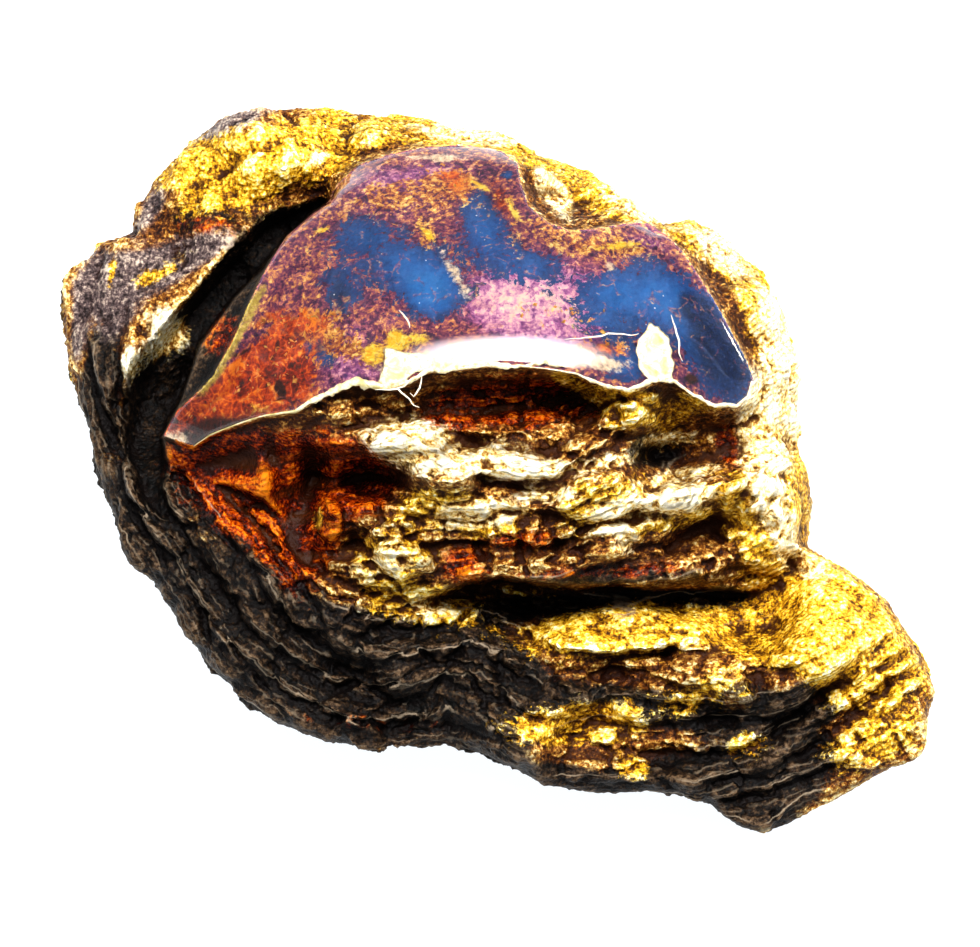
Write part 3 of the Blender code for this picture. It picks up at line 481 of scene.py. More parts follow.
def broken_face_height(u, v, out, start):
    """The broken face: a recess under the window's lip, and forms that are cut into ledges."""
    glassy = fade(u, GLASSY_U)
    under_lip = np.exp(-(((out - RECESS_AT) / RECESS_WIDTH) ** 2))
    recess = RECESS_DEPTH * under_lip * fade(u, RECESS_LEFT) * fade(u, RECESS_RIGHT)
    forms = face_forms(u, v)
    z = start - FACE_DROP - recess + forms
    bed = face_bed(u, v, forms)
    rough = 1 - GLASSY_SMOOTHNESS * glassy
    at = wandering(u, v)
    z = z + rough * (blocks(*at, FACE_BLOCKS) + blocks(*at, SMALL_FACE_BLOCKS))
    z = terraced(z, bed, LAYER, rough * (FACE_LAYER_SHARE + flat_noise(u, v, FACE_LAYER_PATCHES)))
    thin = np.clip(FACE_THIN_LAYER_SHARE + flat_noise(u, v, THIN_LAYER_PATCHES), 0, None)
    z = terraced(z, bed, THIN_LAYER, rough * thin)
    return z + rough * flat_noise(u, v, FACE_GRAIN)


def crust_shares(u, v):
    """Where the cap's crust lies, if not on the window: on the right, and at the top."""
    right = fade(u, RIGHT_CRUST_U) * fade(v - RIGHT_CRUST_SLANT * u, RIGHT_CRUST_V)
    return right, fade(v, TOP_CRUST_V) * (1 - right)


def cap_height(u, v):
    """The cap: the dome inside the window, crust above and to the right of it, the broken face below."""
    out = np.maximum(-inside_distance(u, v, WINDOW), 0.0)
    right, top = crust_shares(u, v)
    step = CRUST_STEP * smooth(out / CRUST_STEP_WIDTH)
    drop = right * (step + CRUST_FALL_RIGHT * out) + top * (step + CRUST_FALL_TOP * out)
    lumps = CRUST_LUMP_SHARE * mounds(u, v, CRUST_LUMPS) - CRUST_LUMP_LEVEL
    crust = dome_height(u, v) - np.minimum(drop, DEEPEST_CRUST) + smooth(out) * (right + top) * lumps
    chipped = smooth(out / CHIP_WIDTH) * (1 - np.maximum(right, top))
    return crust + chipped * (broken_face_height(u, v, out, crust) - crust)


def height_from_spots(u, v):
    """A smooth surface through the listed heights, each of which counts near its own place."""
    total = np.zeros_like(u)
    weight = np.full(u.shape, 1e-9)
    for at_u, at_v, z in UPPER_LEFT_HEIGHTS + FLANK_HEIGHTS + LOBE_HEIGHTS + GROOVE_HEIGHTS:
        near = np.exp(-((u - at_u) ** 2 + (v - at_v) ** 2) / (2 * HEIGHT_REACH**2))
        total += near * z
        weight += near
    return total / weight


def lobe_share(u, v):
    return fade(u, LOBE_U) * fade(v, LOBE_V)


def layered_lobe_share(u, v):
    """1 where the lobe is layered and cracked into blocks, 0 on its smooth shoulder and off the lobe."""
    return lobe_share(u, v) * (1 - np.minimum(mounds(u, v, LOBE_SHOULDER), 1))


def flank_blocks(u, v):
    """Blocks that are drawn out along the outline."""
    round_pole = FLANK_RADIUS * np.arctan2(u - FRONT_POLE[0], FRONT_POLE[1] - v)
    inward = inside_distance(u, v, OUTLINE)
    return blocks(round_pole, inward, FLANK_BLOCKS) + blocks(round_pole, inward, SMALL_FLANK_BLOCKS)


def surround_bed(u, v, z):
    """The place across the layers round the cap, which follow the outline and lie level on the far side."""
    over_rim = z - rim_height(v)
    bed = inside_distance(u, v, OUTLINE) + FLANK_BEND * flank_blocks(*wandering(u, v))
    return np.where(over_rim > 0, bed, over_rim) + flat_noise(u, v, LAYER_WARP)


def lobe_bed(u, v, z):
    """The place across the lobe's layers, which climb more and more towards its end."""
    steeper = LOBE_STEEPER_CLIMB * np.maximum(u - LOBE_STEEPER_FROM, 0)
    return v - LOBE_CLIMB * u - steeper + LOBE_BEND * z + flat_noise(u, v, LAYER_WARP)


def surround_height(u, v):
    """Everything round the cap: the grainy upper left lobe, the layered flank and the lower right lobe."""
    at = wandering(u, v)
    z = height_from_spots(u, v) + flat_noise(u, v, SURROUND_SWELL)
    lobe = lobe_share(u, v)
    layered_lobe = layered_lobe_share(u, v)
    crevice = crevice_depth(u, v)
    layered = fade(v, LAYERED_V) * fade(crevice, CREVICE_CALM)
    z = z + lobe * (mounds(*at, LOBE_PLATES, plate) + mounds(*at, LOBE_HOLLOWS)) - crevice
    z = z + layered_lobe * blocks(*at, LOBE_BLOCKS) + (1 - lobe) * layered * flank_blocks(*at)
    amount = layered * (SURROUND_LAYER_SHARE + flat_noise(u, v, LAYER_PATCHES))
    thin = layered * np.clip(SURROUND_LAYER_SHARE + flat_noise(u, v, THIN_LAYER_PATCHES), 0, None)
    for bed, share in (
        (surround_bed(u, v, z), 1 - lobe), (lobe_bed(u, v, z), LOBE_LAYER_SHARE * layered_lobe),
    ):
        z = terraced(z, bed, LAYER, share * amount)
        z = terraced(z, bed, THIN_LAYER, share * thin)
    return z + flat_noise(u, v, SURROUND_GRAIN) + fade(v, GRAINY_V) * flat_noise(u, v, LOBE_SWELL)


def front_height(u, v):
    """The whole side that the viewer sees. The cap's edge is sharp but for its upper left and right ends."""
    edge = CAP_EDGE + CAP_EDGE_TOP * fade(v, CAP_TOP_V)
    edge = edge + CAP_EDGE_RIGHT * fade(u, CAP_RIGHT_U) * fade(v, CAP_RIGHT_V)
    on_cap = smooth(0.5 + inside_distance(u, v, CAP) / (2 * edge))
    return cap_height(u, v) * on_cap + surround_height(u, v) * (1 - on_cap)


def window_depth(u, v):
    """How far the rind under the window lies below the dome, along z."""
    inside = inside_distance(u, v, WINDOW)
    floor = FLOOR_DEPTH + flat_noise(u, v, FLOOR_SWELL)
    return LIP_DROP * smooth(inside / LIP_WIDTH) + floor * smooth(inside / FLOOR_SLOPE_WIDTH)


def rim_height(v):
    """The height of the outermost line that the viewer sees."""
    return RIM_HEIGHT + RIM_CLIMB * v


def rim_point(angle):
    """The outline's point in each direction from the front pole."""
    arms = np.array(OUTLINE) - FRONT_POLE
    turns = np.arctan2(arms[:, 1], arms[:, 0])
    order = np.argsort(turns)
    reach = np.interp(angle, turns[order], np.hypot(arms[:, 0], arms[:, 1])[order], period=2 * math.pi)
    return FRONT_POLE[0] + reach * np.cos(angle), FRONT_POLE[1] + reach * np.sin(angle)


def crust_knobs(points, directions, crust):
    """How far the knobs push each point out, where crust is the share of them that is left there."""
    across, up, near = (directions / EGG).T
    out = np.stack([
        across,
        up * math.sin(VIEW_TILT) - near * math.cos(VIEW_TILT),
        up * math.cos(VIEW_TILT) + near * math.sin(VIEW_TILT),
    ], axis=1)
    height = crust * (np.abs(noise(*points.T, CRUST_KNOBS)) - KNOB_LEVEL)
    return out * (height / np.linalg.norm(out, axis=1))[:, np.newaxis]


def rounding(lift):
    """How much of its height over the rim the front has reached, from 0 at the rim to 1."""
    return np.sin(np.clip(lift / FULL_AT_LIFT, 0, 1) * math.pi / 2) ** SHOULDER


def place(u, v, z):
    """The points that the viewer sees at (u, v), at the heights z."""
    y = v / math.sin(VIEW_TILT) - (z - PIVOT_HEIGHT) / math.tan(VIEW_TILT)
    return np.stack([u + FOOTPRINT_SHIFT[0], y + FOOTPRINT_SHIFT[1], z], axis=-1)


def nodule_points(directions):
    """Where each direction from the centre of a ball ends up on the nodule."""
    angle = np.arctan2(directions[:, 1], directions[:, 0])
    lift = directions[:, 2]
    front = lift >= 0
    sunk = np.clip(-lift, 0, 1)
    swells = smooth(sunk / SWELLS_FULL_AT) * noise(*(SWELL_BALL * directions.T), UNDERSIDE_SWELLS)
    share = np.hypot(directions[:, 0], directions[:, 1]) * (1 + SWELL_SPREAD * swells)
    rim_u, rim_v = rim_point(angle)
    pole_u, pole_v = (np.where(front, a, b) for a, b in zip(FRONT_POLE, UNDERSIDE_POLE))
    u = pole_u + share * (rim_u - pole_u)
    v = pole_v + share * (rim_v - pole_v)
    rind = front_height(u, v) - window_depth(u, v)
    shown = rim_height(v) + (rind - rim_height(v)) * rounding(lift)
    hidden = rim_height(rim_v) * (1 - sunk**BOWL_POWER) - BOWL_SAG * sunk**3
    hidden = hidden - SWELL_HEIGHT * (1 - SWELLS_LOST_BELOW * sunk) * swells
    points = place(u, v, np.where(front, shown, hidden))
    out = smooth(-inside_distance(u, v, WINDOW))
    crust = np.maximum(out * np.maximum(*crust_shares(u, v)), fade(lift, KNOBS_TO_FRONT))
    crust = crust * fade(np.abs(lift), KNOBS_FROM_RIM)
    return points + crust_knobs(points, directions, crust)


# Patches of colour, as (u, v, half length, half width, turn in degrees, strength).
# Of the crust's patches, gold and cream are partly painted light, laid where the crust faces the lamps.
# Umber is partly painted shade, laid on the flank turned from the light, in the crevice, in the groove under
# the cap's lip and in recesses of the broken face.
CRUST_PATCHES = {
    "gold_and_light": (
        (12.8, 12.3, 2.5, 1.4, -38, 1), (15.3, 9.0, 1.5, 2.5, 15, 1.2), (16.5, 5.7, 1.4, 3.0, 5, 1.2),
        (16.2, 1.3, 1.9, 3.3, 0, 1), (15.4, -3.1, 1.9, 2.8, 10, 1), (-5.0, 19.0, 5.0, 0.9, -3, 1),
        (0.0, 18.2, 3.3, 0.7, -14, 1), (4.4, 16.4, 2.8, 1.1, -35, 0.9), (7.4, 14.8, 2.2, 0.9, -25, 1),
        (11.0, 13.3, 1.4, 0.8, -30, 1), (-12.3, 17.6, 4.2, 1.5, 12, 1), (-13.5, 15.9, 3.3, 1.4, 25, 0.9),
        (-9.2, 17.8, 1.6, 1.5, 0, 1), (-16.6, 17.2, 2.1, 1.0, 35, 0.8), (7.2, -8.6, 5.8, 1.4, 5, 1.1),
        (4.7, -13.7, 3.7, 1.2, 3, 1.1), (18.4, -7.0, 2.8, 2.0, -40, 1.1), (20.8, -10.5, 3.3, 2.6, -35, 1.1),
        (20.8, -14.7, 2.6, 1.4, 20, 0.9), (13.8, -14.8, 1.4, 0.7, 10, 0.8), (7.8, -16.1, 1.0, 0.7, 0, 0.9),
        (11.6, -11.9, 2.8, 1.2, 10, 0.6), (15.2, -9.4, 2.6, 1.2, -10, 0.9), (9.1, 3.4, 3.2, 0.9, 8, 0.9),
        (6.0, -1.5, 2.3, 1.6, 5, 0.9), (11.0, -1.5, 3.3, 1.4, 8, 0.7), (11.0, 1.8, 2.2, 0.7, 5, 0.5),
        (15.9, -5.3, 1.9, 1.6, 30, 0.9), (-5.5, -5.0, 2.4, 2.2, 0, 0.8), (-2.8, -7.4, 2.3, 1.0, 0, 0.9),
        (-2.8, -1.5, 2.2, 0.9, 0, 0.8), (1.6, -6.4, 3.3, 0.4, 0, 0.5), (4.7, 4.7, 2.0, 0.4, -30, 0.9),
        (7.0, 4.2, 1.8, 0.5, -12, 0.9), (-0.6, -2.4, 3.0, 1.2, 4, 0.8), (8.6, -2.2, 3.6, 0.9, 8, 0.8),
        (-18.4, 11.0, 1.8, 0.5, 25, 0.75), (-20.9, 11.3, 1.0, 0.25, 80, 0.85),
        (-9.4, -2.6, 0.4, 1.0, 0, 0.6),
    ),
    "cream": (
        (-4.0, 1.5, 3.1, 1.6, -18, 1), (3.6, 15.3, 1.9, 0.8, -58, 0.9), (14.4, 2.9, 0.8, 2.4, 0, 1.0),
        (-5.4, -4.8, 1.9, 1.6, 0, 0.6), (-3.2, -7.3, 1.6, 0.7, 0, 0.7), (-17.7, 8.1, 1.3, 1.8, 30, 0.55),
        (-19.9, 6.2, 0.5, 1.1, 0, 0.75), (7.4, -3.4, 1.0, 1.9, 0, 0.5), (11.0, -0.9, 2.5, 1.0, 6, 0.4),
        (12.7, 12.2, 2.4, 1.2, -38, 0.8), (15.7, 7.9, 1.3, 2.6, 10, 0.85), (-9.5, 17.4, 0.8, 1.1, 0, 0.6),
        (16.5, 3.6, 1.3, 2.8, 0, 0.8), (15.1, 0.2, 1.0, 3.4, 4, 1.0), (16.3, -3.6, 0.8, 1.8, 10, 0.8),
        (-1.4, 18.8, 3.8, 0.7, -8, 0.8), (8.0, 14.6, 2.4, 0.9, -26, 0.7), (-0.6, -2.2, 2.8, 0.9, 4, 0.95),
        (8.4, -1.9, 3.4, 0.8, 8, 0.95), (-17.5, 11.7, 1.8, 0.7, 30, 0.45), (-18.5, 6.9, 0.9, 1.5, -40, 0.5),
        (1.4, 0.2, 2.8, 0.6, -3, 0.8), (3.6, -1.1, 1.8, 0.5, 0, 0.7), (9.8, 1.9, 2.2, 0.5, 6, 0.7),
        (18.0, -5.4, 1.3, 0.9, -30, 0.6), (6.0, 0.6, 2.6, 0.6, 8, 0.7), (10.5, 0.0, 2.6, 0.35, 12, 0.7),
        (0.9, 1.3, 1.8, 0.7, -4, 0.6), (6.6, -2.9, 1.6, 0.3, 12, 0.7),
    ),
    # Ember is the red-brown of the glassy broken amber. At the broken face's left end it is also painted
    # glow of light shining through the amber.
    "ember": (
        (-13.5, -0.1, 3.4, 2.3, -14, 1.1), (-10.2, -3.4, 1.8, 2.8, 0, 1.2), (-8.8, 0.2, 3.3, 2.2, 0, 0.9),
        (1.4, 3.9, 4.3, 1.5, 3, 1.05), (1.8, -3.6, 2.6, 0.9, 0, 0.65), (6.6, 4.0, 2.2, 1.1, 0, 0.6),
        (-7.7, -0.9, 2.4, 1.4, 0, 0.9), (6.6, -5.3, 7.2, 0.6, 3, 0.55), (-15.5, 13.8, 2.5, 1.4, 0, 0.5),
        (-2.5, 2.9, 1.4, 1.1, 0, 0.5), (-1.6, -4.8, 1.3, 1.3, 0, 0.7), (13.0, 1.6, 0.7, 1.6, 10, 0.8),
        (-14.6, 7.6, 1.2, 1.6, -20, 0.6), (-12.2, -1.6, 2.6, 2.4, -25, 0.8),
        (-14.9, 0.6, 2.2, 1.2, -10, 0.7), (-6.0, -13.7, 6.0, 0.7, -4, 0.32),
    ),
    "umber_and_shade": (
        (-21.7, 4.0, 1.4, 5.5, -8, 1.1), (-19.2, -2.6, 2.4, 4.4, -22, 1.2),
        (-15.4, -7.5, 3.9, 3.9, -40, 1.2), (-10.4, -11.4, 5.0, 3.4, -25, 1.2),
        (-3.9, -11.9, 5.0, 3.3, 0, 1.2), (0.6, -12.5, 2.8, 3.3, 0, 1), (6.0, -12.5, 4.4, 1.1, 0, 0.9),
        (6.0, -17.0, 6.0, 0.9, -8, 1), (11.6, -17.4, 3.3, 1.3, -15, 1), (15.4, -17.4, 3.3, 2.0, 25, 1.1),
        (12.7, -11.9, 3.3, 0.8, 8, 0.6), (-10.4, -8.1, 6.0, 1.2, -12, 1), (-3.9, -9.2, 2.8, 0.7, 0, 0.5),
        (-18.7, 2.9, 1.1, 3.3, 0, 1.1), (-15.7, 4.0, 1.6, 1.1, 40, 0.5), (7.2, -7.2, 8.8, 0.8, 2, 1.1),
        (-13.2, 12.6, 3.3, 0.9, 42, 0.7), (-15.6, 14.2, 2.6, 1.3, 10, 0.75),
        (-13.4, -3.9, 3.6, 0.6, -38, 0.7), (9.0, 1.3, 1.3, 0.8, 0, 0.8), (14.4, -15.6, 5.5, 1.9, 14, 0.8),
        (10.4, -13.3, 3.2, 0.8, -4, 0.7), (16.2, -13.2, 3.4, 0.8, 28, 0.6),
        (19.2, -12.5, 3.9, 0.4, 32, 0.6), (15.4, -12.5, 2.8, 0.6, 25, 0.5), (9.1, 1.0, 1.9, 1.1, 0, 0.55),
        (-15.0, 7.0, 0.9, 3.4, -38, 1.2), (-12.6, 10.9, 0.6, 2.2, -42, 0.8), (-16.9, 3.6, 0.9, 1.4, -40, 1),
        (13.4, -7.4, 2.1, 0.9, 5, 1.2), (6.8, -5.5, 6.6, 0.55, 2, 0.8),
    ),
    "lilac": (
        (-21.2, 10.1, 1.6, 2.8, 14, 1), (-17.9, 11.5, 2.6, 1.3, 24, 1.0), (-15.2, 12.8, 1.4, 0.8, 20, 0.5),
        (-18.7, 14.8, 0.7, 2.2, -30, 0.7), (-14.6, 19.2, 2.8, 0.6, 22, 0.9), (-22.8, 7.3, 0.6, 2.8, 0, 0.6),
    ),
}
WINDOW_PATCHES = {
    "blue": (
        (-7.0, 13.0, 2.1, 1.3, 10, 0.8), (-4.4, 11.3, 2.0, 1.6, 0, 1.0), (-2.9, 9.8, 1.6, 1.4, 0, 1.4),
        (-0.4, 13.6, 1.5, 2.1, 10, 1.1), (2.2, 11.3, 2.0, 1.2, 0, 0.9), (9.1, 9.8, 2.9, 1.9, -25, 1.2),
        (1.0, 16.7, 0.4, 0.3, 0, 1), (6.0, 9.7, 1.9, 1.1, 0, 0.8), (-8.0, 10.0, 1.1, 1.3, 0, 1),
        (-9.0, 7.0, 1.1, 1.0, 0, 1.2), (12.4, 6.7, 1.8, 3.0, 32, 1.2), (6.0, 8.2, 2.2, 0.9, -10, 0.6),
        (7.4, 6.3, 1.6, 0.9, -10, 1.1),
    ),
    "navy": (
        (12.4, 6.7, 1.6, 2.9, 32, 1.2), (-8.0, 10.0, 1.1, 1.3, 0, 0.8), (-9.3, 7.0, 0.9, 0.8, 0, 0.8),
        (11.0, 9.5, 1.4, 1.1, -20, 0.5), (0.0, 14.2, 1.1, 1.1, 0, 0.5), (7.2, 7.9, 1.6, 0.8, -10, 0.5),
    ),
    "pink": (
        (3.4, 9.3, 4.0, 2.1, -5, 1.3), (-7.6, 6.5, 3.0, 2.0, -10, 0.65), (-3.6, 16.5, 3.6, 0.9, 3, 0.6),
        (8.2, 12.7, 1.6, 0.8, 0, 0.5), (0.6, 9.5, 1.6, 1.3, 0, 0.8), (-5.5, 15.0, 2.2, 1.6, 0, 0.5),
    ),
    "fire": (
        (-3.9, 15.4, 3.3, 1.9, -5, 0.75), (3.6, 14.2, 2.6, 1.8, 5, 0.8), (6.5, 12.4, 2.2, 0.8, 0, 1),
        (-10.4, 8.2, 2.8, 1.1, 0, 1), (-12.5, 4.7, 3.9, 2.2, 20, 1.2), (-13.4, 4.3, 1.8, 1.2, 0, 0.8),
        (-5.0, 7.1, 1.5, 0.9, 0, 0.9), (-3.4, 12.8, 0.5, 0.8, 0, 0.9), (-1.9, 15.8, 1.1, 0.8, 0, 0.8),
        (3.9, 8.6, 3.3, 0.8, -5, 0.5), (5.5, 7.1, 2.2, 0.4, 0, 0.7), (-7.7, 7.1, 1.6, 0.7, -20, 0.6),
        (-6.0, 15.0, 1.6, 1.1, 0, 0.5), (-9.1, 13.3, 0.8, 0.4, 30, 0.9),
    ),
    # The hot corner is the amber's own orange-red, made bright as a painted glow of light shining through
    # it.
    "hot": (
        (-13.6, 4.6, 4.2, 1.9, 28, 1.3), (-11.3, 6.1, 1.6, 1.8, 0, 0.9), (-10.2, 8.6, 2.2, 0.8, -10, 0.5),
        (-16.2, 3.0, 1.6, 0.9, 35, 0.8), (-2.0, 16.0, 1.2, 0.7, -20, 0.7), (0.6, 15.0, 0.8, 1.4, 20, 0.6),
        (5.6, 6.9, 1.6, 0.5, 0, 0.8),
    ),
    "yellow": (
        (-8.97, 13.4, 0.33, 0.17, 8, 1.6), (-4.95, 7.5, 0.4, 0.6, 0, 1.2), (-6.2, 6.8, 0.6, 0.6, 40, 1.1),
        (-3.3, 12.9, 0.25, 0.8, 42, 1.0), (-3.9, 7.6, 1.2, 0.4, 12, 0.8), (-12.6, 4.0, 1.0, 0.7, 0, 0.5),
        (1.3, 14.6, 0.25, 1.0, 24, 0.8), (-0.4, 15.6, 1.1, 0.25, -28, 0.8), (7.0, 12.6, 1.6, 0.3, 6, 0.8),
    ),
    "dark": (
        (-11.2, 5.0, 0.22, 0.5, 12, 1.7), (-13.6, 6.9, 1.3, 0.14, 14, 0.9), (10.8, 5.5, 0.5, 0.3, 0, 1.2),
        (-9.2, 3.9, 1.1, 0.16, 24, 0.8), (-7.6, 7.3, 0.15, 0.9, 20, 0.6), (-15.6, 2.6, 1.8, 0.9, 24, 1.1),
        (-12.6, 3.6, 1.6, 0.5, 20, 0.5), (-13.8, 5.6, 0.9, 0.5, 0, 0.45),
    ),
    "olive": (
        (-12.9, 9.6, 0.35, 1.6, -32, 1), (-14.2, 7.6, 0.6, 1.9, -33, 1.3), (-15.3, 5.5, 0.45, 1.2, -38, 1),
    ),
    "pale": (
        (-17.5, 1.8, 0.8, 1.4, -35, 1), (-1.8, 10.8, 1.6, 0.4, -56, 0.75), (-8.8, 4.3, 2.0, 0.4, 25, 0.8),
        (6.4, 11.3, 0.4, 0.3, 0, 0.9), (4.1, 6.8, 4.4, 0.4, -8, 0.7), (5.9, 6.3, 1.2, 0.35, -18, 0.7),
        (-3.9, 17.7, 4.4, 0.3, 2, 0.5), (-2.6, 17.5, 0.6, 0.3, 0, 1), (-5.5, 6.1, 0.9, 0.4, 0, 0.6),
    ),
}

# Speckles in the looks, as (size in mm, detail, roughness, distortion).
CRUST_SPECKLE = (0.3, 6, 0.72)
CRUST_MOTTLES = ((1.7, 6, 0.62), (0.9, 5, 0.62, 0.6))
CRUST_TONE_SPECKLE = (0.2, 4, 0.7)
CRUST_BUMPS = ((0.22, 4, 0.62), (0.7, 4, 0.6))
LINE_SPECKLE = (4.0, 2, 0.5, 0.3)
LIP_SPECKLE = (3.0, 3, 0.5, 0.5)
WINDOW_SPECKLE = (0.22, 5, 0.72)
WINDOW_MOTTLE = (1.3, 8, 0.68, 0.9)
WINDOW_TONE_SPECKLE = (0.7, 7, 0.68, 1.2)
HEAT_SPECKLE = (2.2, 3, 0.5, 0.4)
VEIN_BEND = (1.1, 4, 0.5)
CHIP_SPECKLE = (0.25, 6, 0.7)
CHIP_MOTTLE = (0.9, 5, 0.62, 0.6)
TWO_TONE_SPECKLE = (0.3, 6, 0.7)
TWO_TONE_AT = (0.35, 0.62)

# The sizes of grains in mm.
TONE_GRAIN = 0.42
BUMP_GRAIN = 0.3
GLINT_GRAIN = 0.2
DOT_GRAIN = 0.5
VEIN_CELL = 0.9

# The crust's colours from dark to light, as stops of (tone, colour). The lightest stops of the base, gold
# and cream colours are partly painted highlights and glints on the grains.
CRUST_SHADES = {
    "base": (
        (0.2, (0.012, 0.003, 0.001)), (0.4, (0.08, 0.022, 0.003)), (0.58, (0.24, 0.085, 0.010)),
        (0.80, (0.62, 0.38, 0.09)), (0.95, (0.88, 0.76, 0.42)),
    ),
    "umber_and_shade": (
        (0.3, (0.001, 0.001, 0.001)), (0.55, (0.010, 0.0052, 0.0026)), (0.78, (0.044, 0.025, 0.0125)),
        (1.0, (0.12, 0.076, 0.042)),
    ),
    "ember": (
        (0.22, (0.012, 0.001, 0.001)), (0.45, (0.11, 0.009, 0.001)), (0.66, (0.36, 0.046, 0.001)),
        (0.95, (0.74, 0.22, 0.008)),
    ),
    "lilac": (
        (0.25, (0.012, 0.007, 0.007)), (0.5, (0.10, 0.068, 0.066)), (0.62, (0.25, 0.185, 0.155)),
        (0.8, (0.56, 0.46, 0.36)),
    ),
    "gold_and_light": (
        (0.15, (0.045, 0.013, 0.001)), (0.30, (0.20, 0.085, 0.003)), (0.45, (0.48, 0.235, 0.006)),
        (0.62, (0.81, 0.50, 0.028)), (0.84, (0.95, 0.80, 0.30)), (1.0, (1.0, 0.98, 0.78)),
    ),
    "cream": (
        (0.12, (0.20, 0.07, 0.008)), (0.28, (0.64, 0.37, 0.07)), (0.45, (0.95, 0.76, 0.33)),
        (0.68, (1.0, 0.95, 0.74)),
    ),
}
# The next four colours are painted light and shade along the layers: dark in hollows and in the gaps between
# layers as painted shade, pale on the crests of thin layers as painted highlight, dark at the feet of ledges
# as painted shade, and pale on the ledges' lips as painted highlight.
HOLLOW_SHADE = (0.028, 0.007, 0.002)
THIN_LAYER_LINE = (0.25, 0.20, 0.14)
LEDGE_FOOT = ((0.045, 0.014, 0.003), (0.002, 0.001, 0.001))  # off umber, and on it
LEDGE_LIP = (0.34, 0.27, 0.19)

# Where lines along the layers begin and are full: in shares of a layer, in a mottle, or in mm under the
# smoothed surface.
GAP_AT = (0.45, 0.7)
GAP_PATCHES = (0.4, 0.55)
SHADED_HOLLOW = (0.05, 0.22)
LINE_AT = (0.2, 0.03)
LINED_RIDGE = (0.03, -0.02)
LINE_PATCHES = (0.40, 0.52)
FOOT_FROM = (0.45, 0.66)
FOOT_TO = (0.92, 0.74)
LIP_AT = (0.045, 0.008)
LIP_PATCHES = (0.42, 0.52)

# How strong the lines and the painted shade in gaps and hollows are.
GAP_STRENGTH = 0.65
HOLLOW_SHADE_STRENGTH = 0.85
SHADE_LOST_ON_UMBER = 0.9
LINE_STRENGTH = 0.3
FOOT_STRENGTH = (0.5, 0.15)  # off gold, and on it
LIP_STRENGTH = 0.6

# How the patches end, in the order in which they are laid over each other, as (number of the mottle that
# the edge follows, threshold, half the edge's width, how mottled and how grainy it is).
CRUST_EDGES = {
    "umber_and_shade": (0, 0.45, 0.16, 1.0, 0.7),
    "ember": (1, 0.45, 0.16, 1.0, 0.7),
    "lilac": (0, 0.45, 0.16, 0.7, 0.5),
    "gold_and_light": (0, 0.45, 0.1, 1.2, 1.2),
    "cream": (1, 0.5, 0.16, 1.0, 0.8),
}

# The same for what shows through the window, where all patches follow one mottle.
WINDOW_SHADES = {
    "purple": (
        (0.2, (0.014, 0.003, 0.040)), (0.40, (0.10, 0.014, 0.085)), (0.54, (0.32, 0.075, 0.12)),
        (0.68, (0.74, 0.32, 0.09)), (0.82, (0.98, 0.76, 0.24)),
    ),
    # The pink haze is its own purple, lightened in part as a painted reflection of the bright surroundings.
    "pink": (
        (0.2, (0.09, 0.018, 0.16)), (0.42, (0.36, 0.10, 0.32)), (0.60, (0.76, 0.38, 0.56)),
        (0.78, (0.97, 0.72, 0.62)),
    ),
    "blue": (
        (0.10, (0.003, 0.014, 0.075)), (0.30, (0.004, 0.058, 0.235)), (0.48, (0.006, 0.120, 0.42)),
        (0.78, (0.018, 0.21, 0.60)),
    ),
    "fire": (
        (0.2, (0.030, 0.004, 0.035)), (0.36, (0.17, 0.018, 0.045)), (0.48, (0.46, 0.12, 0.040)),
        (0.60, (0.82, 0.42, 0.070)), (0.76, (1.0, 0.86, 0.34)),
    ),
    "navy": ((0.4, (0.004, 0.020, 0.075)), (0.64, (0.008, 0.045, 0.18)), (0.72, (0.3, 0.35, 0.5))),
    "hot": (
        (0.2, (0.045, 0.003, 0.001)), (0.38, (0.26, 0.016, 0.001)), (0.55, (0.64, 0.075, 0.001)),
        (0.75, (0.96, 0.32, 0.006)),
    ),
    "yellow": ((0.2, (0.98, 0.42, 0.004)), (0.45, (1.0, 0.66, 0.015)), (0.7, (1.0, 0.90, 0.20))),
    "dark": ((0.3, (0.004, 0.001, 0.001)), (0.8, (0.09, 0.010, 0.002))),
    "olive": ((0.2, (0.16, 0.09, 0.01)), (0.5, (0.46, 0.34, 0.03)), (0.8, (0.74, 0.62, 0.18))),
    "pale": ((0.2, (0.40, 0.26, 0.22)), (0.5, (0.86, 0.70, 0.46)), (0.8, (0.98, 0.93, 0.78))),
}
DEEP_DOTS = (0.7, 0.75, 0.85)
WINDOW_EDGES = {
    "pink": (0.42, 0.3, 1.6, 0.5),
    "blue": (0.5, 0.03, 2.6, 1.2),
    "fire": (0.66, 0.1, 3.0, 1.6),
    "navy": (0.55, 0.25, 1.0, 0.2),
    "hot": (0.5, 0.22, 2.0, 0.6),
    "yellow": (0.55, 0.2, 1.6, 0.8),
    "dark": (0.5, 0.2, 0.8, 0.3),
    "olive": (0.6, 0.25, 1.8, 0.6),
    "pale": (0.55, 0.18, 1.4, 0.9),
}

# How much further up the clear amber shows what lies under it.
WINDOW_LIFT = 0.44

# The side that the viewer doesn't see is golden at the back and right, as painted light where it faces the
# lamps, and umber at the left and below, as painted shade where it is turned from them.
SEEN_ABOVE_RIM = (-1.2, 0.4)
GOLDEN_SIDE = (-0.5, 0.35)
SIDE_LEAN = (0.022, 0.04, 0.03)
SIDE_LEVEL = 0.3
SIDE_PATCHES = (1.1, 5.0, 91, 3, 0.5)
# The crevice is painted dark as shade, fully so where it is this deep.
CREVICE_SHADE_DEPTH = 2.5  # the crevice is umber where it is this deep
SMOOTHING_ROUNDS = 24
LOW_CRUST_TOP = 4.5
LINED_FROM_WINDOW = (-0.8, -2.0)

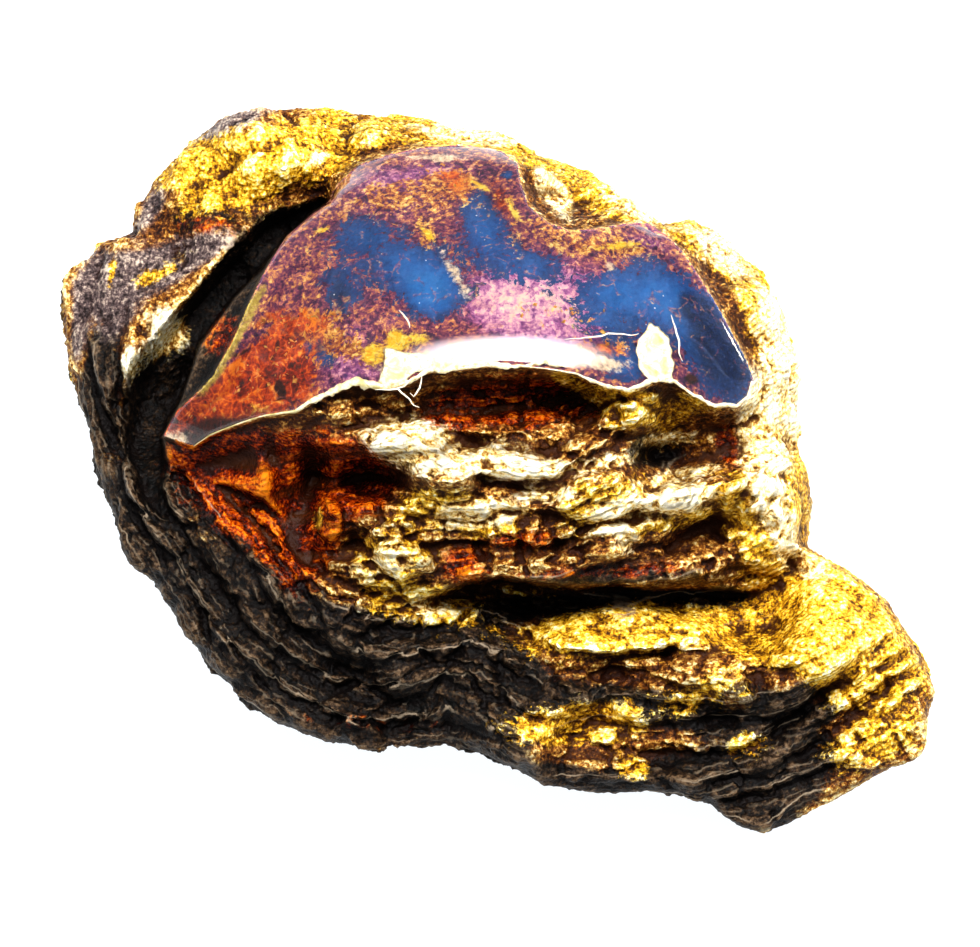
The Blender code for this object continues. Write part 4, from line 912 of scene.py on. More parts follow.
# The clear amber's mesh: how far it reaches past its edge and into the floor, and how its points are spaced.
EDGE_OVERLAP = 0.05
EDGE_DROP = 0.1
FLOOR_OVERLAP = 0.12
EDGE_SPACING = 0.22
GRID_SPACING = 0.32
EDGE_RINGS = (0.1, 0.24, 0.45)
RING_ROOM = 0.8  # a ring's point is left out where the edge is nearer than this share of its distance
WINDOW_BOX = (-18.2, 14.6, 1.2, 18.4)  # from and to, along u and then v

# Gold flecks inside the clear amber.
FLECK_TRIES = 2600
FLECK_SIZE = (0.05, 0.16)
FLECK_DEPTH = (0.2, 1.1)
FLECK_SEED = 7
FLECK_GLOW = (0.15, 1.0)  # how strong the orange glow is where flecks begin and where all are kept
FLECK_CLEARANCE = 0.1
FLECK_ARMS = (0.5, 1.3)  # a fleck has six corners on three crossed arms, of uneven length
FLECK_FORM = (1, 1, 1.4, 1.4, 0.25, 0.25)
FLECK_FACES = ((0, 2, 4), (2, 1, 4), (1, 3, 4), (3, 0, 4), (2, 0, 5), (1, 2, 5), (3, 1, 5), (0, 3, 5))
FLECK_LOOK = ((0.75, 0.22, 0.02), (0.95, 0.62, 0.14), 0.4)  # its darker and lighter colour, and roughness

# The cream rim along the window's chipped lower edge: how wide it is, as (u, width).
PALE_RIM = (
    (-17.0, 0.05), (-12.0, 0.07), (-10.4, 0.16), (-8.8, 0.32), (-6.4, 0.42), (-5.8, 0.3), (-1.2, 0.16),
    (0.5, 0.06), (4.4, 0.07), (5.6, 0.18), (8.2, 0.2), (9.6, 0.24), (10.6, 0.12), (11.6, 0.28),
    (12.8, 0.24), (14.3, 0.12),
)
PALE_RIM_SPAN = (1, 23)  # the corners of WINDOW that it runs between
PALE_RIM_SPACING = 0.1
PALE_RIM_HONEY_X = (-5.0, -8.0)
PALE_RIM_CHIPS = (1.3, 0.45, 95, 3, 0.6)
PALE_RIM_CHIP_STEP = 3.0
# The rim's section, as (place across in widths, depth, more depth in widths).
PALE_RIM_SECTION = (
    (0.45, -0.02, 0.0), (-0.35, -0.02, 0.05), (-0.62, 0.05, 0.35), (-0.3, 0.15, 0.8), (0.3, 0.3, 0.2),
)
CREAM_FLAKE = (
    (-5.65, 6.8), (-4.9, 6.65), (-3.6, 6.4), (-2.4, 6.25), (-1.4, 6.3), (0.0, 6.15), (1.4, 5.8), (2.2, 6.0),
    (3.1, 6.25), (4.2, 5.7), (2.8, 5.85), (1.7, 5.75), (0.6, 5.6), (-0.6, 5.75), (-1.4, 5.75), (-2.4, 5.4),
    (-3.3, 5.6), (-4.1, 5.4), (-4.6, 4.9), (-5.5, 4.6), (-6.2, 4.9), (-5.85, 5.4),
)
LEAF_CHIP = (
    (8.6, 8.15), (9.2, 7.85), (9.7, 7.25), (9.9, 6.4), (9.95, 5.6), (9.9, 5.05), (8.9, 4.9), (8.35, 5.15),
    (8.0, 5.85), (7.9, 6.5), (8.0, 7.2), (8.3, 7.65),
)

# The two chips, as (outline, how far its middle stands out, thickness).
CHIPS = {
    "cream_flake": (CREAM_FLAKE, 0.12, 0.3),
    "leaf_chip": (LEAF_CHIP, 0.08, 0.12),
}

# Their colours along their edges and inside, as stops.
CHIP_SHADES = {
    "chalk": ((0.35, (0.52, 0.38, 0.16)), (0.5, (0.80, 0.70, 0.44)), (0.66, (0.96, 0.92, 0.76))),
    "honey": ((0.36, (0.42, 0.33, 0.09)), (0.5, (0.66, 0.59, 0.29)), (0.62, (0.84, 0.80, 0.56))),
}

# A chip's mesh: its edge and its top are uneven by CHIP_NOISE, it is sunk a little at its edge, rises within
# CHIP_BEVEL, and has rows of points along its edge, with a grid inside them.
CHIP_NOISE = (1.0, 0.3, 97, 2, 0.5)
CHIP_ROUGHNESS = 0.12
CHIP_RINGS = (0.08, 0.2)
CHIP_GRID = 0.2
CHIP_ROOM = 0.06  # the least distance from its edge to a point inside it
CHIP_BEVEL = 0.1
CHIP_SUNK = 0.04
CHIP_UNEVENNESS = 0.3

# Pale strands on the window and the rim: fibres, a scratch and splinters, each as (u, v) along its length.
STRANDS = (
    ((4.1, 7.2), (5.5, 7.4), (6.4, 7.55), (7.4, 7.5), (8.2, 7.6)),
    ((9.85, 8.6), (10.1, 7.4), (10.45, 6.0)),
    ((-4.95, 8.9), (-4.55, 8.4), (-4.35, 7.8)),
    ((-6.2, 4.5), (-5.0, 4.5), (-4.3, 3.95), (-3.65, 3.4)),
    ((-4.3, 5.05), (-4.7, 4.65), (-5.3, 4.45)),
    ((-3.65, 5.3), (-3.8, 4.6), (-4.2, 4.1), (-4.5, 4.4)),
)
STRAND_RADIUS = 0.055
STRAND_WANDER = (0.12, 0.6, 99, 2, 0.5)
STRAND_SPACING = 0.15
STRAND_SIDES = 6
STRAND_TIP = 0.3  # where in half a turn of a sine a thread begins and ends, which makes its ends thin
STRAND_LOOK = ((0.6, 0.5, 0.36), (0.85, 0.8, 0.68), 0.5)  # as FLECK_LOOK

# The picture: what the camera sees across at the nodule, and the lens and its sensor in mm.
SEEN_WIDTH = 53.9
LENS = 400.0
SENSOR_WIDTH = 36.0
CLIP_END = 10

# The studio, in mm and W.
FLOOR_SIZE = 4000.0
TABLE_COLOUR = (0.30, 0.31, 0.32)
TABLE_GLOW_COLOUR = (0.93, 0.97, 1.0)
TABLE_GLOW = 0.85
LIGHT_AIM = (0, 0, 10)
LIGHT_FADE = (0.5, 0.2)  # how far from its middle a light is dark, and full, in shares of its size
LIGHTS = {  # as (place, size, power, colour)
    "overhead": ((0, -10, 345), (400, 190), 5.0, (1.0, 0.98, 0.97)),
    "side": ((330, 130, 150), (150, 150), 2.2, (1.0, 0.94, 0.82)),
}
WORLD_COLOUR = (0.86, 0.93, 1.0)
WORLD_STRENGTH = 0.34


def read_points(mesh):
    flat = np.empty(3 * len(mesh.vertices), np.float32)
    mesh.vertices.foreach_get("co", flat)
    return flat.reshape(-1, 3).astype(float)


def write_points(mesh, points):
    mesh.vertices.foreach_set("co", points.astype(np.float32).ravel())
    mesh.update()


def read_triangles(mesh):
    mesh.calc_loop_triangles()
    flat = np.empty(3 * len(mesh.loop_triangles), np.int32)
    mesh.loop_triangles.foreach_get("vertices", flat)
    return flat.reshape(-1, 3)


def add_object(name, data):
    made = bpy.data.objects.new(name, data)
    bpy.context.scene.collection.objects.link(made)
    return made


def with_modifier(mesh, kind, **settings):
    """The mesh that a modifier makes of this one."""
    carrier = add_object("carrier", mesh)
    modifier = carrier.modifiers.new("modifier", kind)
    for name, value in settings.items():
        setattr(modifier, name, value)
    bpy.context.view_layer.update()
    graph = bpy.context.evaluated_depsgraph_get()
    result = bpy.data.meshes.new_from_object(carrier.evaluated_get(graph), depsgraph=graph)
    bpy.data.objects.remove(carrier)
    bpy.data.meshes.remove(mesh)
    return result


def nodule_mesh():
    """The whole rind, closed: its points in mm and its triangles, finer where it is rough."""
    shape = bmesh.new()
    bmesh.ops.create_icosphere(
        shape, subdivisions=BALL_SUBDIVISIONS, radius=1.0)
    mesh = bpy.data.meshes.new("nodule")
    shape.to_mesh(mesh)
    shape.free()
    write_points(mesh, nodule_points(read_points(mesh)))
    mesh = with_modifier(mesh, "REMESH", mode="VOXEL", voxel_size=VOXEL)
    points = read_points(mesh)
    points = with_fine_relief(points, point_normals(points, read_triangles(mesh)))
    points[:, 2] = np.maximum(points[:, 2], 0)
    write_points(mesh, points)
    kept = KEPT_FACES
    mesh = with_modifier(mesh, "DECIMATE", ratio=kept / len(read_triangles(mesh)))
    points = read_points(mesh)
    triangles = read_triangles(mesh)
    bpy.data.meshes.remove(mesh)
    return points, triangles


def unit(vectors):
    """The same directions, with a length of one."""
    return vectors / np.maximum(np.linalg.norm(vectors, axis=1), 1e-12)[:, np.newaxis]


def triangle_sides(triangles):
    """The two ends of each triangle's sides."""
    return np.concatenate([triangles[:, [0, 1]], triangles[:, [1, 2]], triangles[:, [2, 0]]])


def point_sums(triangles, values, count):
    """Adds each triangle's values up at its three points."""
    sums = [np.bincount(triangles.ravel(), np.repeat(column, 3), count) for column in values.T]
    return np.stack(sums, axis=1)


def point_normals(points, triangles):
    a, b, c = (points[triangles[:, i]] for i in range(3))
    return unit(point_sums(triangles, np.cross(b - a, c - a), len(points)))


def hollowness(points, triangles, normals):
    """How far each point lies under the smoothed surface, in mm, and less than 0 on ridges."""
    ends = triangle_sides(triangles)
    neighbours = np.maximum(np.bincount(ends[:, 0], minlength=len(points)), 1)
    smoothed = points
    for _ in range(SMOOTHING_ROUNDS):
        sums = [np.bincount(ends[:, 0], column, len(points)) for column in smoothed[ends[:, 1]].T]
        smoothed = np.stack(sums, axis=1) / neighbours[:, np.newaxis]
    return np.sum((smoothed - points) * normals, axis=1)


def picture_place(points):
    """The (u, v) at which the viewer sees each point."""
    away = points[:, 1] - FOOTPRINT_SHIFT[1] + (points[:, 2] - PIVOT_HEIGHT) / math.tan(VIEW_TILT)
    return points[:, 0] - FOOTPRINT_SHIFT[0], away * math.sin(VIEW_TILT)


def layer_beds(points):
    """Each point's place across the layers of the face, of the surround and of the lobe."""
    u, v = picture_place(points)
    return (
        face_bed(u, v, face_forms(u, v)), surround_bed(u, v, points[:, 2]), lobe_bed(u, v, points[:, 2]),
    )


def fine_layers(points, beds):
    """The count of thin layers up to each point on the face, round the cap and on the lobe."""
    warp = noise(*points.T, LEDGE_WARP)
    return [(bed + warp) / thickness for bed, (thickness, _, _) in zip(beds, LEDGES)]


def layer_shares(points):
    """How much of each of those layers shows at each point."""
    u, v = picture_place(points)
    face = (points[:, 2] > rim_height(v)) & (inside_distance(u, v, CAP) > 0)
    layered = ~face * fade(v, LAYERED_V)
    return face * 1.0, layered * (1 - lobe_share(u, v)), layered * layered_lobe_share(u, v)


def with_fine_relief(points, normals):
    """The points, moved out and in by thin ledges and by creased grain, but for those under the window."""
    u, v = picture_place(points)
    seen = points[:, 2] > rim_height(v)
    inside = np.where(seen, inside_distance(u, v, WINDOW), -1.0)
    glassy = np.where(seen, fade(u, GLASSY_U) * fade(inside_distance(u, v, CAP), GLASSY_EDGE), 0)
    crust = np.where(seen, np.maximum(*crust_shares(u, v)), 1)
    crust = np.maximum(crust, fade(v, GRAINY_V))
    patches = np.clip(LEDGE_LEVEL + noise(*points.T, LEDGE_PATCHES), 0, None)
    patches = patches * (1 - LEDGE_LOSS_ON_CRUST * crust)
    ledges = np.zeros_like(u)
    all_layers = fine_layers(points, layer_beds(points))
    for layers, share, (_, height, riser) in zip(all_layers, layer_shares(points), LEDGES):
        ledges += share * height * patches * sawtooth(layers, riser)
    grain = np.abs(noise(*points.T, GRAIN)) - GRAIN_LEVEL
    grain = grain * (LAYERED_GRAIN + crust * (CRUST_GRAIN - LAYERED_GRAIN))
    rough = (1 - GLASSY_SMOOTHNESS * glassy) * (ledges + grain) * smooth(-inside / ROUGH_FROM_WINDOW)
    return points + normals * rough[:, np.newaxis]


def crust_attributes(points, hollow):
    """What the crust's colours follow at each point."""
    u, v = picture_place(points)
    z = points[:, 2]
    crevice = crevice_depth(u, v)
    seen = fade(z - rim_height(v) + crevice, SEEN_ABOVE_RIM)
    # Painted light on the far side where it faces the lamps, and painted shade where it is turned from them.
    golden = fade(points @ SIDE_LEAN - SIDE_LEVEL + noise(*points.T, SIDE_PATCHES), GOLDEN_SIDE)
    values = {name: seen * mounds(u, v, patches) for name, patches in CRUST_PATCHES.items()}
    values["gold_and_light"] += (1 - seen) * golden
    values["umber_and_shade"] += (1 - seen) * (1 - golden)
    # Painted shade in the crevice, darker the deeper it goes.
    values["umber_and_shade"] += seen * crevice / CREVICE_SHADE_DEPTH
    shares = layer_shares(points)
    beds = layer_beds(points)
    shown = np.argmax(shares, axis=0)
    values["ledge"] = np.choose(shown, beds) / LAYER[0]
    values["layer"] = np.choose(shown, fine_layers(points, beds))
    beside = fade(inside_distance(u, v, WINDOW), LINED_FROM_WINDOW) * fade(crevice, CREVICE_CALM)
    values["lined"] = np.max(shares, axis=0) * np.where((seen > 0) & (u < GLASSY_U[1]), beside, 1)
    values["hollow"] = hollow
    return values


def window_attributes(points):
    """What the colours under the window follow at each point, which is seen higher up than it lies."""
    u, v = picture_place(points)
    v = v + WINDOW_LIFT
    return {name: mounds(u, v, patches) for name, patches in WINDOW_PATCHES.items()}


def new_piece(name, points, faces, material, values=None, normals=None):
    """A piece that moves with the nodule and takes the place of its plain solid, from points in mm."""
    mesh = bpy.data.meshes.new(name)
    mesh.from_pydata(points * MM, [], faces)
    for key, value in (values or {}).items():
        layer = mesh.attributes.new(key, "FLOAT", "POINT")
        layer.data.foreach_set("value", value.astype(np.float32))
    mesh.shade_smooth()
    if normals is not None:
        mesh.normals_split_custom_set_from_vertices(normals)
    mesh.materials.append(material)
    piece = add_object(name, mesh)
    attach(piece, "root")
    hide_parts("amber_piece")
    return piece


def rind_pieces(crust, depths):
    """The crust of the cap, of the rest that the viewer sees and of the far side, and the window's floor."""
    points, triangles = nodule_mesh()
    normals = point_normals(points, triangles)
    hollow = hollowness(points, triangles, normals)
    middles = points[triangles].mean(axis=1)
    u, v = picture_place(middles)
    in_front = middles[:, 2] > rim_height(v)
    under_window = in_front & (inside_distance(u, v, WINDOW) > 0)
    on_cap = in_front & ~under_window & (inside_distance(u, v, CAP) > 0)
    low = middles[:, 2] < LOW_CRUST_TOP
    for name, chosen, material, slot in (
        ("cap_crust", on_cap, crust, "amber_crust"),
        ("front_crust", in_front & ~under_window & ~on_cap, crust, "amber_crust"),
        ("back_crust", ~in_front & ~low, crust, "amber_crust"),
        ("low_crust", ~in_front & low, crust, "amber_crust"),
        ("window_floor", under_window, depths, "clear_amber"),
    ):
        used, corners = np.unique(triangles[chosen], return_inverse=True)
        if material is crust:
            values = crust_attributes(points[used], hollow[used])
        else:
            values = window_attributes(points[used])
        new_piece(name, points[used], corners.reshape(-1, 3), material, values, normals[used])


def edge_line(outline, spacing, closed=True):
    """Points along an outline, at most spacing apart."""
    line = []
    ends = outline[1:] + outline[:1] if closed else outline[1:]
    for start, end in zip(outline, ends):
        steps = math.ceil(math.dist(start, end) / spacing)
        line += [(start[0] + (end[0] - start[0]) * i / steps, start[1] + (end[1] - start[1]) * i / steps)
                 for i in range(steps)]
    return np.array(line)


def inward(line):
    """The direction into a counterclockwise line at each of its points."""
    along = np.roll(line, -1, axis=0) - np.roll(line, 1, axis=0)
    return unit(np.stack([-along[:, 1], along[:, 0]], axis=1))


def flat_fill(edge, inner):
    """Triangles between a closed edge and the points inside it."""
    flat = [Vector(point) for point in np.concatenate([edge, inner])]
    loop = [(i, (i + 1) % len(edge)) for i in range(len(edge))]
    found = delaunay_2d_cdt(flat, loop, [], 1, 1e-6)
    points = np.array([tuple(point) for point in found[0]])
    triangles = np.array([list(face) for face in found[2]])
    a, b, c = (points[triangles[:, i]] for i in range(3))
    turned = (b[:, 0] - a[:, 0]) * (c[:, 1] - a[:, 1]) < (b[:, 1] - a[:, 1]) * (c[:, 0] - a[:, 0])
    triangles[turned] = triangles[turned][:, ::-1]
    return points, triangles


def closed_body(u, v, top, bottom, triangles):
    """Joins an upper and a lower surface over the same flat triangles into one closed body."""
    points = np.concatenate([place(u, v, top), place(u, v, bottom)])
    ends = triangle_sides(triangles)
    known = {tuple(end) for end in ends.tolist()}
    rim = [end for end in known if (end[1], end[0]) not in known]
    lower = len(u)
    faces = triangles.tolist() + (triangles[:, ::-1] + lower).tolist()
    faces += [(b, a, a + lower, b + lower) for a, b in sorted(rim)]
    return points, faces


def closed_tube(lines):
    """Joins lines of points that run side by side round a tube, and closes its ends."""
    count = len(lines[0])
    starts = [side * count for side in range(len(lines))]
    faces = []
    for one, other in zip(starts, starts[1:] + starts[:1]):
        faces += [(one + i, other + i, other + i + 1, one + i + 1) for i in range(count - 1)]
    faces.append(starts[::-1])
    faces.append([start + count - 1 for start in starts])
    return np.concatenate(lines), faces


def seen_height(u, v, front):
    """A height of the front, rounded down towards the outline as the nodule is."""
    rim_u, rim_v = rim_point(np.arctan2(v - FRONT_POLE[1], u - FRONT_POLE[0]))
    reach = np.hypot(rim_u - FRONT_POLE[0], rim_v - FRONT_POLE[1])
    share = np.hypot(u - FRONT_POLE[0], v - FRONT_POLE[1]) / reach
    lift = np.sqrt(np.clip(1 - share**2, 0, 1))
    return rim_height(v) + (front - rim_height(v)) * rounding(lift)


def clear_amber(material):
    """The polished, see-through body between the window's dome and the floor under it."""
    edge = edge_line(WINDOW, EDGE_SPACING)
    rings = np.concatenate([edge + distance * inward(edge) for distance in EDGE_RINGS])
    across = np.arange(WINDOW_BOX[0], WINDOW_BOX[1], GRID_SPACING)
    up = np.arange(WINDOW_BOX[2], WINDOW_BOX[3], GRID_SPACING)
    grid = np.stack(np.meshgrid(across, up), axis=-1).reshape(-1, 2)
    ring_room = inside_distance(*rings.T, WINDOW) > np.repeat(EDGE_RINGS, len(edge)) * RING_ROOM
    grid_room = inside_distance(*grid.T, WINDOW) > EDGE_RINGS[-1] + GRID_SPACING / 2
    inner = np.concatenate([rings[ring_room], grid[grid_room]])
    flat, triangles = flat_fill(edge - EDGE_OVERLAP * inward(edge), inner)
    u, v = flat.T
    dome = front_height(u, v)
    outside = inside_distance(u, v, WINDOW) < 0
    top = seen_height(u, v, dome) - np.where(outside, EDGE_DROP, 0)
    bottom = seen_height(u, v, dome - window_depth(u, v)) - FLOOR_OVERLAP
    bottom = np.minimum(bottom, top - EDGE_DROP)
    points, faces = closed_body(u, v, top, bottom, triangles)
    new_piece("clear_amber", points, faces, material)


def gold_flecks(material):
    """Small flat grains at different depths inside the clear amber, where it glows orange."""
    random = np.random.default_rng(FLECK_SEED)
    u = random.uniform(*WINDOW_BOX[:2], FLECK_TRIES)
    v = random.uniform(*WINDOW_BOX[2:], FLECK_TRIES)
    depth = random.uniform(*FLECK_DEPTH, FLECK_TRIES)
    glow = mounds(u, v, WINDOW_PATCHES["fire"]) > random.uniform(*FLECK_GLOW, FLECK_TRIES)
    kept = glow & (window_depth(u, v) > depth + FLECK_CLEARANCE)
    centres = place(u, v, seen_height(u, v, front_height(u, v)) - depth)[kept]
    points = []
    faces = []
    for centre in centres:
        size = random.uniform(*FLECK_SIZE)
        turn = np.linalg.qr(random.normal(size=(3, 3)))[0]
        arms = size * random.uniform(*FLECK_ARMS, 6) * FLECK_FORM
        ends = np.repeat(np.eye(3), 2, axis=0) * np.tile((1, -1), 3)[:, np.newaxis] * arms[:, np.newaxis]
        first = len(points)
        points += list(centre + ends @ turn)
        faces += [[first + i for i in face] for face in FLECK_FACES]
    new_piece("gold_flecks", np.array(points), faces, material)


def pale_rim(material):
    """The cream rim along the window's lower edge, chipped unevenly."""
    first, last = PALE_RIM_SPAN
    line = edge_line(WINDOW[first:last + 1], PALE_RIM_SPACING, closed=False)
    into = inward(line)
    into[0] = into[1]
    into[-1] = into[-2]
    width = np.interp(line[:, 0], *np.transpose(PALE_RIM))
    rings = []
    for i, (across, down, down_by_width) in enumerate(PALE_RIM_SECTION):
        chip = 1 + noise(*line.T, np.full(len(line), PALE_RIM_CHIP_STEP * i), PALE_RIM_CHIPS)
        u, v = (line + (across * width * chip)[:, np.newaxis] * into).T
        rings.append(place(u, v, dome_height(u, v) - down - down_by_width * width * chip))
    points, faces = closed_tube(rings)
    honey = fade(points[:, 0], PALE_RIM_HONEY_X)
    new_piece("pale_rim", points, faces, material, {"edge": honey})


def flat_chip(name, outline, above, thickness, material):
    """A thin chip that lies in the window's surface, slightly crowned."""
    edge = edge_line(outline, EDGE_SPACING / 2)
    if sum(edge[:, 0] * np.roll(edge[:, 1], -1) - edge[:, 1] * np.roll(edge[:, 0], -1)) < 0:
        edge = edge[::-1]
    edge = edge + CHIP_ROUGHNESS * inward(edge) * flat_noise(*edge.T, CHIP_NOISE)[:, np.newaxis]
    rings = [edge + distance * inward(edge) for distance in CHIP_RINGS]
    span = [np.arange(low, high, CHIP_GRID) for low, high in zip(edge.min(axis=0), edge.max(axis=0))]
    inner = np.concatenate([*rings, np.stack(np.meshgrid(*span), axis=-1).reshape(-1, 2)])
    closed = tuple(map(tuple, edge))
    inner = inner[inside_distance(*inner.T, closed) > CHIP_ROOM]
    flat, triangles = flat_fill(edge, inner)
    u, v = flat.T
    inside = inside_distance(u, v, closed)
    crown = above * np.minimum(inside / CHIP_BEVEL, 1)
    top = dome_height(u, v) + crown - CHIP_SUNK + CHIP_UNEVENNESS * above * flat_noise(u, v, CHIP_NOISE)
    points, faces = closed_body(u, v, top, top - thickness, triangles)
    new_piece(name, points, faces, material, {"edge": np.tile(inside, 2)})


def strands(material):
    """Fine pale threads, each a closed tube that thins out at its ends."""
    points = []
    faces = []
    for corners in STRANDS:
        line = edge_line(corners, STRAND_SPACING, closed=False)
        u = line[:, 0] + flat_noise(line[:, 0], line[:, 1], STRAND_WANDER)
        v = line[:, 1] + flat_noise(line[:, 1], line[:, 0], STRAND_WANDER)
        middle = place(u, v, np.maximum(dome_height(u, v), 0) + STRAND_RADIUS / 2)
        along = np.gradient(middle, axis=0)
        across = unit(np.cross(along, (0, 0, 1)))
        over = unit(np.cross(across, along))
        bulge = np.sin(np.linspace(STRAND_TIP, math.pi - STRAND_TIP, len(line)))
        radius = STRAND_RADIUS * bulge[:, np.newaxis]
        turns = 2 * math.pi * np.arange(STRAND_SIDES) / STRAND_SIDES
        tube, sides = closed_tube(
            [middle + radius * (math.cos(turn) * across + math.sin(turn) * over) for turn in turns])
        faces += [[len(points) + i for i in side] for side in sides]
        points += list(tube)
    new_piece("strands", np.array(points), faces, material)


class Value:
    """A node's output that can be reckoned with. Each step of the reckoning adds a node."""

    def __init__(self, node, output=0):
        self.node = node
        self.tree = node.id_data
        self.output = node.outputs[output]

    def calc(self, operation, other=0.0):
        return add_node(self.tree, "Math", {0: self, 1: other}, operation=operation)

    def __add__(self, other):
        return self.calc("ADD", other)

    def __sub__(self, other):
        return self.calc("SUBTRACT", other)

    def __rsub__(self, other):
        return add_node(self.tree, "Math", {0: other, 1: self}, operation="SUBTRACT")

    def __mul__(self, other):
        return self.calc("MULTIPLY", other)


def fill(node, sockets):
    """Joins or sets a node's inputs, given by name or number."""
    for key, value in sockets.items():
        socket = node.inputs[key]
        if isinstance(value, Value):
            node.id_data.links.new(value.output, socket)
        else:
            socket.default_value = (*value, 1) if socket.type == "RGBA" else value


def add_node(tree, kind, sockets=None, output=0, **settings):
    """Adds a node, sets it up and gives one of its outputs."""
    node = tree.nodes.new("ShaderNode" + kind)
    for name, value in settings.items():
        setattr(node, name, value)
    fill(node, sockets or {})
    return Value(node, output)


def between(value, low, high):
    """0 under low, 1 over high, and an even rise between."""
    sockets = {"Value": value, "From Min": low, "From Max": high}
    return add_node(value.tree, "MapRange", sockets, interpolation_type="SMOOTHSTEP")


def mixed(share, first, second):
    """The first colour where share is 0, the second where it is 1."""
    return add_node(share.tree, "Mix", {0: share, 6: first, 7: second}, 2, data_type="RGBA")


def mixed_number(share, first, second):
    return add_node(share.tree, "Mix", {0: share, 2: first, 3: second}, data_type="FLOAT")


def shades(value, stops):
    """A colour for each value, from stops of (value, colour)."""
    ramp = add_node(value.tree, "ValToRGB", {0: value})
    elements = ramp.node.color_ramp.elements
    while len(elements) < len(stops):
        elements.new(0.5)
    for element, (position, colour) in zip(elements, stops):
        element.position = position
        element.color = (*colour, 1)
    return ramp


def place_in_mm(tree):
    """The place on the piece, in mm."""
    place_in_m = add_node(tree, "TexCoord", output="Object")
    return add_node(tree, "VectorMath", {0: place_in_m, "Scale": 1 / MM}, operation="SCALE")


def speckle(where, size, detail, roughness, distortion=0.0, output=0):
    """Noise with features of size mm."""
    sockets = {
        "Vector": where, "Scale": 1 / size,
        "Detail": detail, "Roughness": roughness, "Distortion": distortion,
    }
    return add_node(where.tree, "TexNoise", sockets, output)


def grains(where, size, **settings):
    """The distance from the middle of the nearest grain, unless settings ask for another."""
    return add_node(where.tree, "TexVoronoi", {"Vector": where, "Scale": 1 / size}, **settings)


def grain_number(pattern):
    """A random number between 0 and 1 for each grain of a pattern."""
    return add_node(pattern.tree, "SeparateColor", {0: Value(pattern.node, "Color")})


def attribute(tree, name):
    return add_node(tree, "Attribute", output="Fac", attribute_name=name)


def new_material(name):
    material = bpy.data.materials.new(name)
    material.use_nodes = True
    return material, material.node_tree, material.node_tree.nodes["Principled BSDF"]


def add_bump(shader, height, strength):
    """Lets a height in mm show in the light."""
    sockets = {"Strength": strength, "Distance": MM, "Height": height}
    fill(shader, {"Normal": add_node(height.tree, "Bump", sockets)})


def ragged_share(patch, mottle, grain, threshold, softness, mottled, grainy):
    """A patch's share, with an uneven and grainy edge."""
    value = patch + (mottle - 0.5) * mottled + (grain - 0.5) * grainy
    return between(value, threshold - softness, threshold + softness)


def crust_patches(where, hollow, grain, mottles):
    """The crust's colour, lighter on grains, darker in hollows as painted shade and lighter on ridges as
    painted highlight, and each patch's share in it.
    """
    tone = speckle(where, *CRUST_TONE_SPECKLE) * 1.9 + mottles[1] * 0.6
    # Taking the hollowness off the tone paints shade into hollows and highlight onto ridges.
    tone = tone - grains(where, TONE_GRAIN) * 0.35 - hollow * 1.6 - 0.6
    calm_tone = tone * 0.8 + 0.1
    colour = shades(tone, CRUST_SHADES["base"])
    shares = {}
    for name, (mottle, *edge) in CRUST_EDGES.items():
        shares[name] = ragged_share(attribute(where.tree, name), mottles[mottle], grain, *edge)
        patch = shades(calm_tone if name == "lilac" else tone, CRUST_SHADES[name])
        colour = mixed(shares[name], colour, patch)
    return colour, shares


def with_layers(where, colour, umber_and_shade, gold_and_light, hollow, grain, mottle):
    """The colour with dark gaps and pale lines along the layers, thin and thick, and darkened hollows: the
    dark marks are painted shade and the pale lines painted highlights.
    """
    lined = attribute(where.tree, "lined")
    layer = attribute(where.tree, "layer") + grain * 0.25
    # Painted shade in the gaps along the layers and in hollows.
    gap = between(layer.calc("FRACT"), *GAP_AT) * between(mottle, *GAP_PATCHES) * lined * GAP_STRENGTH
    painted_shade = gap.calc("MAXIMUM", between(hollow, *SHADED_HOLLOW)) * HOLLOW_SHADE_STRENGTH
    colour = mixed(painted_shade * (1.0 - umber_and_shade * SHADE_LOST_ON_UMBER), colour, HOLLOW_SHADE)
    # Pale lines on the crests of the thin layers, over ridges only: painted highlight.
    crest = between(layer.calc("PINGPONG", 0.5), *LINE_AT) * between(hollow, *LINED_RIDGE)
    line = crest * between(speckle(where, *LINE_SPECKLE), *LINE_PATCHES)
    colour = mixed(line * lined * umber_and_shade * LINE_STRENGTH, colour, THIN_LAYER_LINE)
    ledge = attribute(where.tree, "ledge") + grain * 0.06
    step = ledge.calc("FRACT")
    # Darker at the feet of the ledges: painted shade.
    foot = between(step, *FOOT_FROM) * between(step, *FOOT_TO) * lined * mixed_number(gold_and_light, *FOOT_STRENGTH)
    colour = mixed(foot, colour, mixed(umber_and_shade, *LEDGE_FOOT))
    # Pale lines on the ledges' lips: painted highlight.
    lip = between(ledge.calc("PINGPONG", 0.5), *LIP_AT)
    lip = lip * between(speckle(where, *LIP_SPECKLE), *LIP_PATCHES)
    return mixed(lip * lined * umber_and_shade * LIP_STRENGTH, colour, LEDGE_LIP)


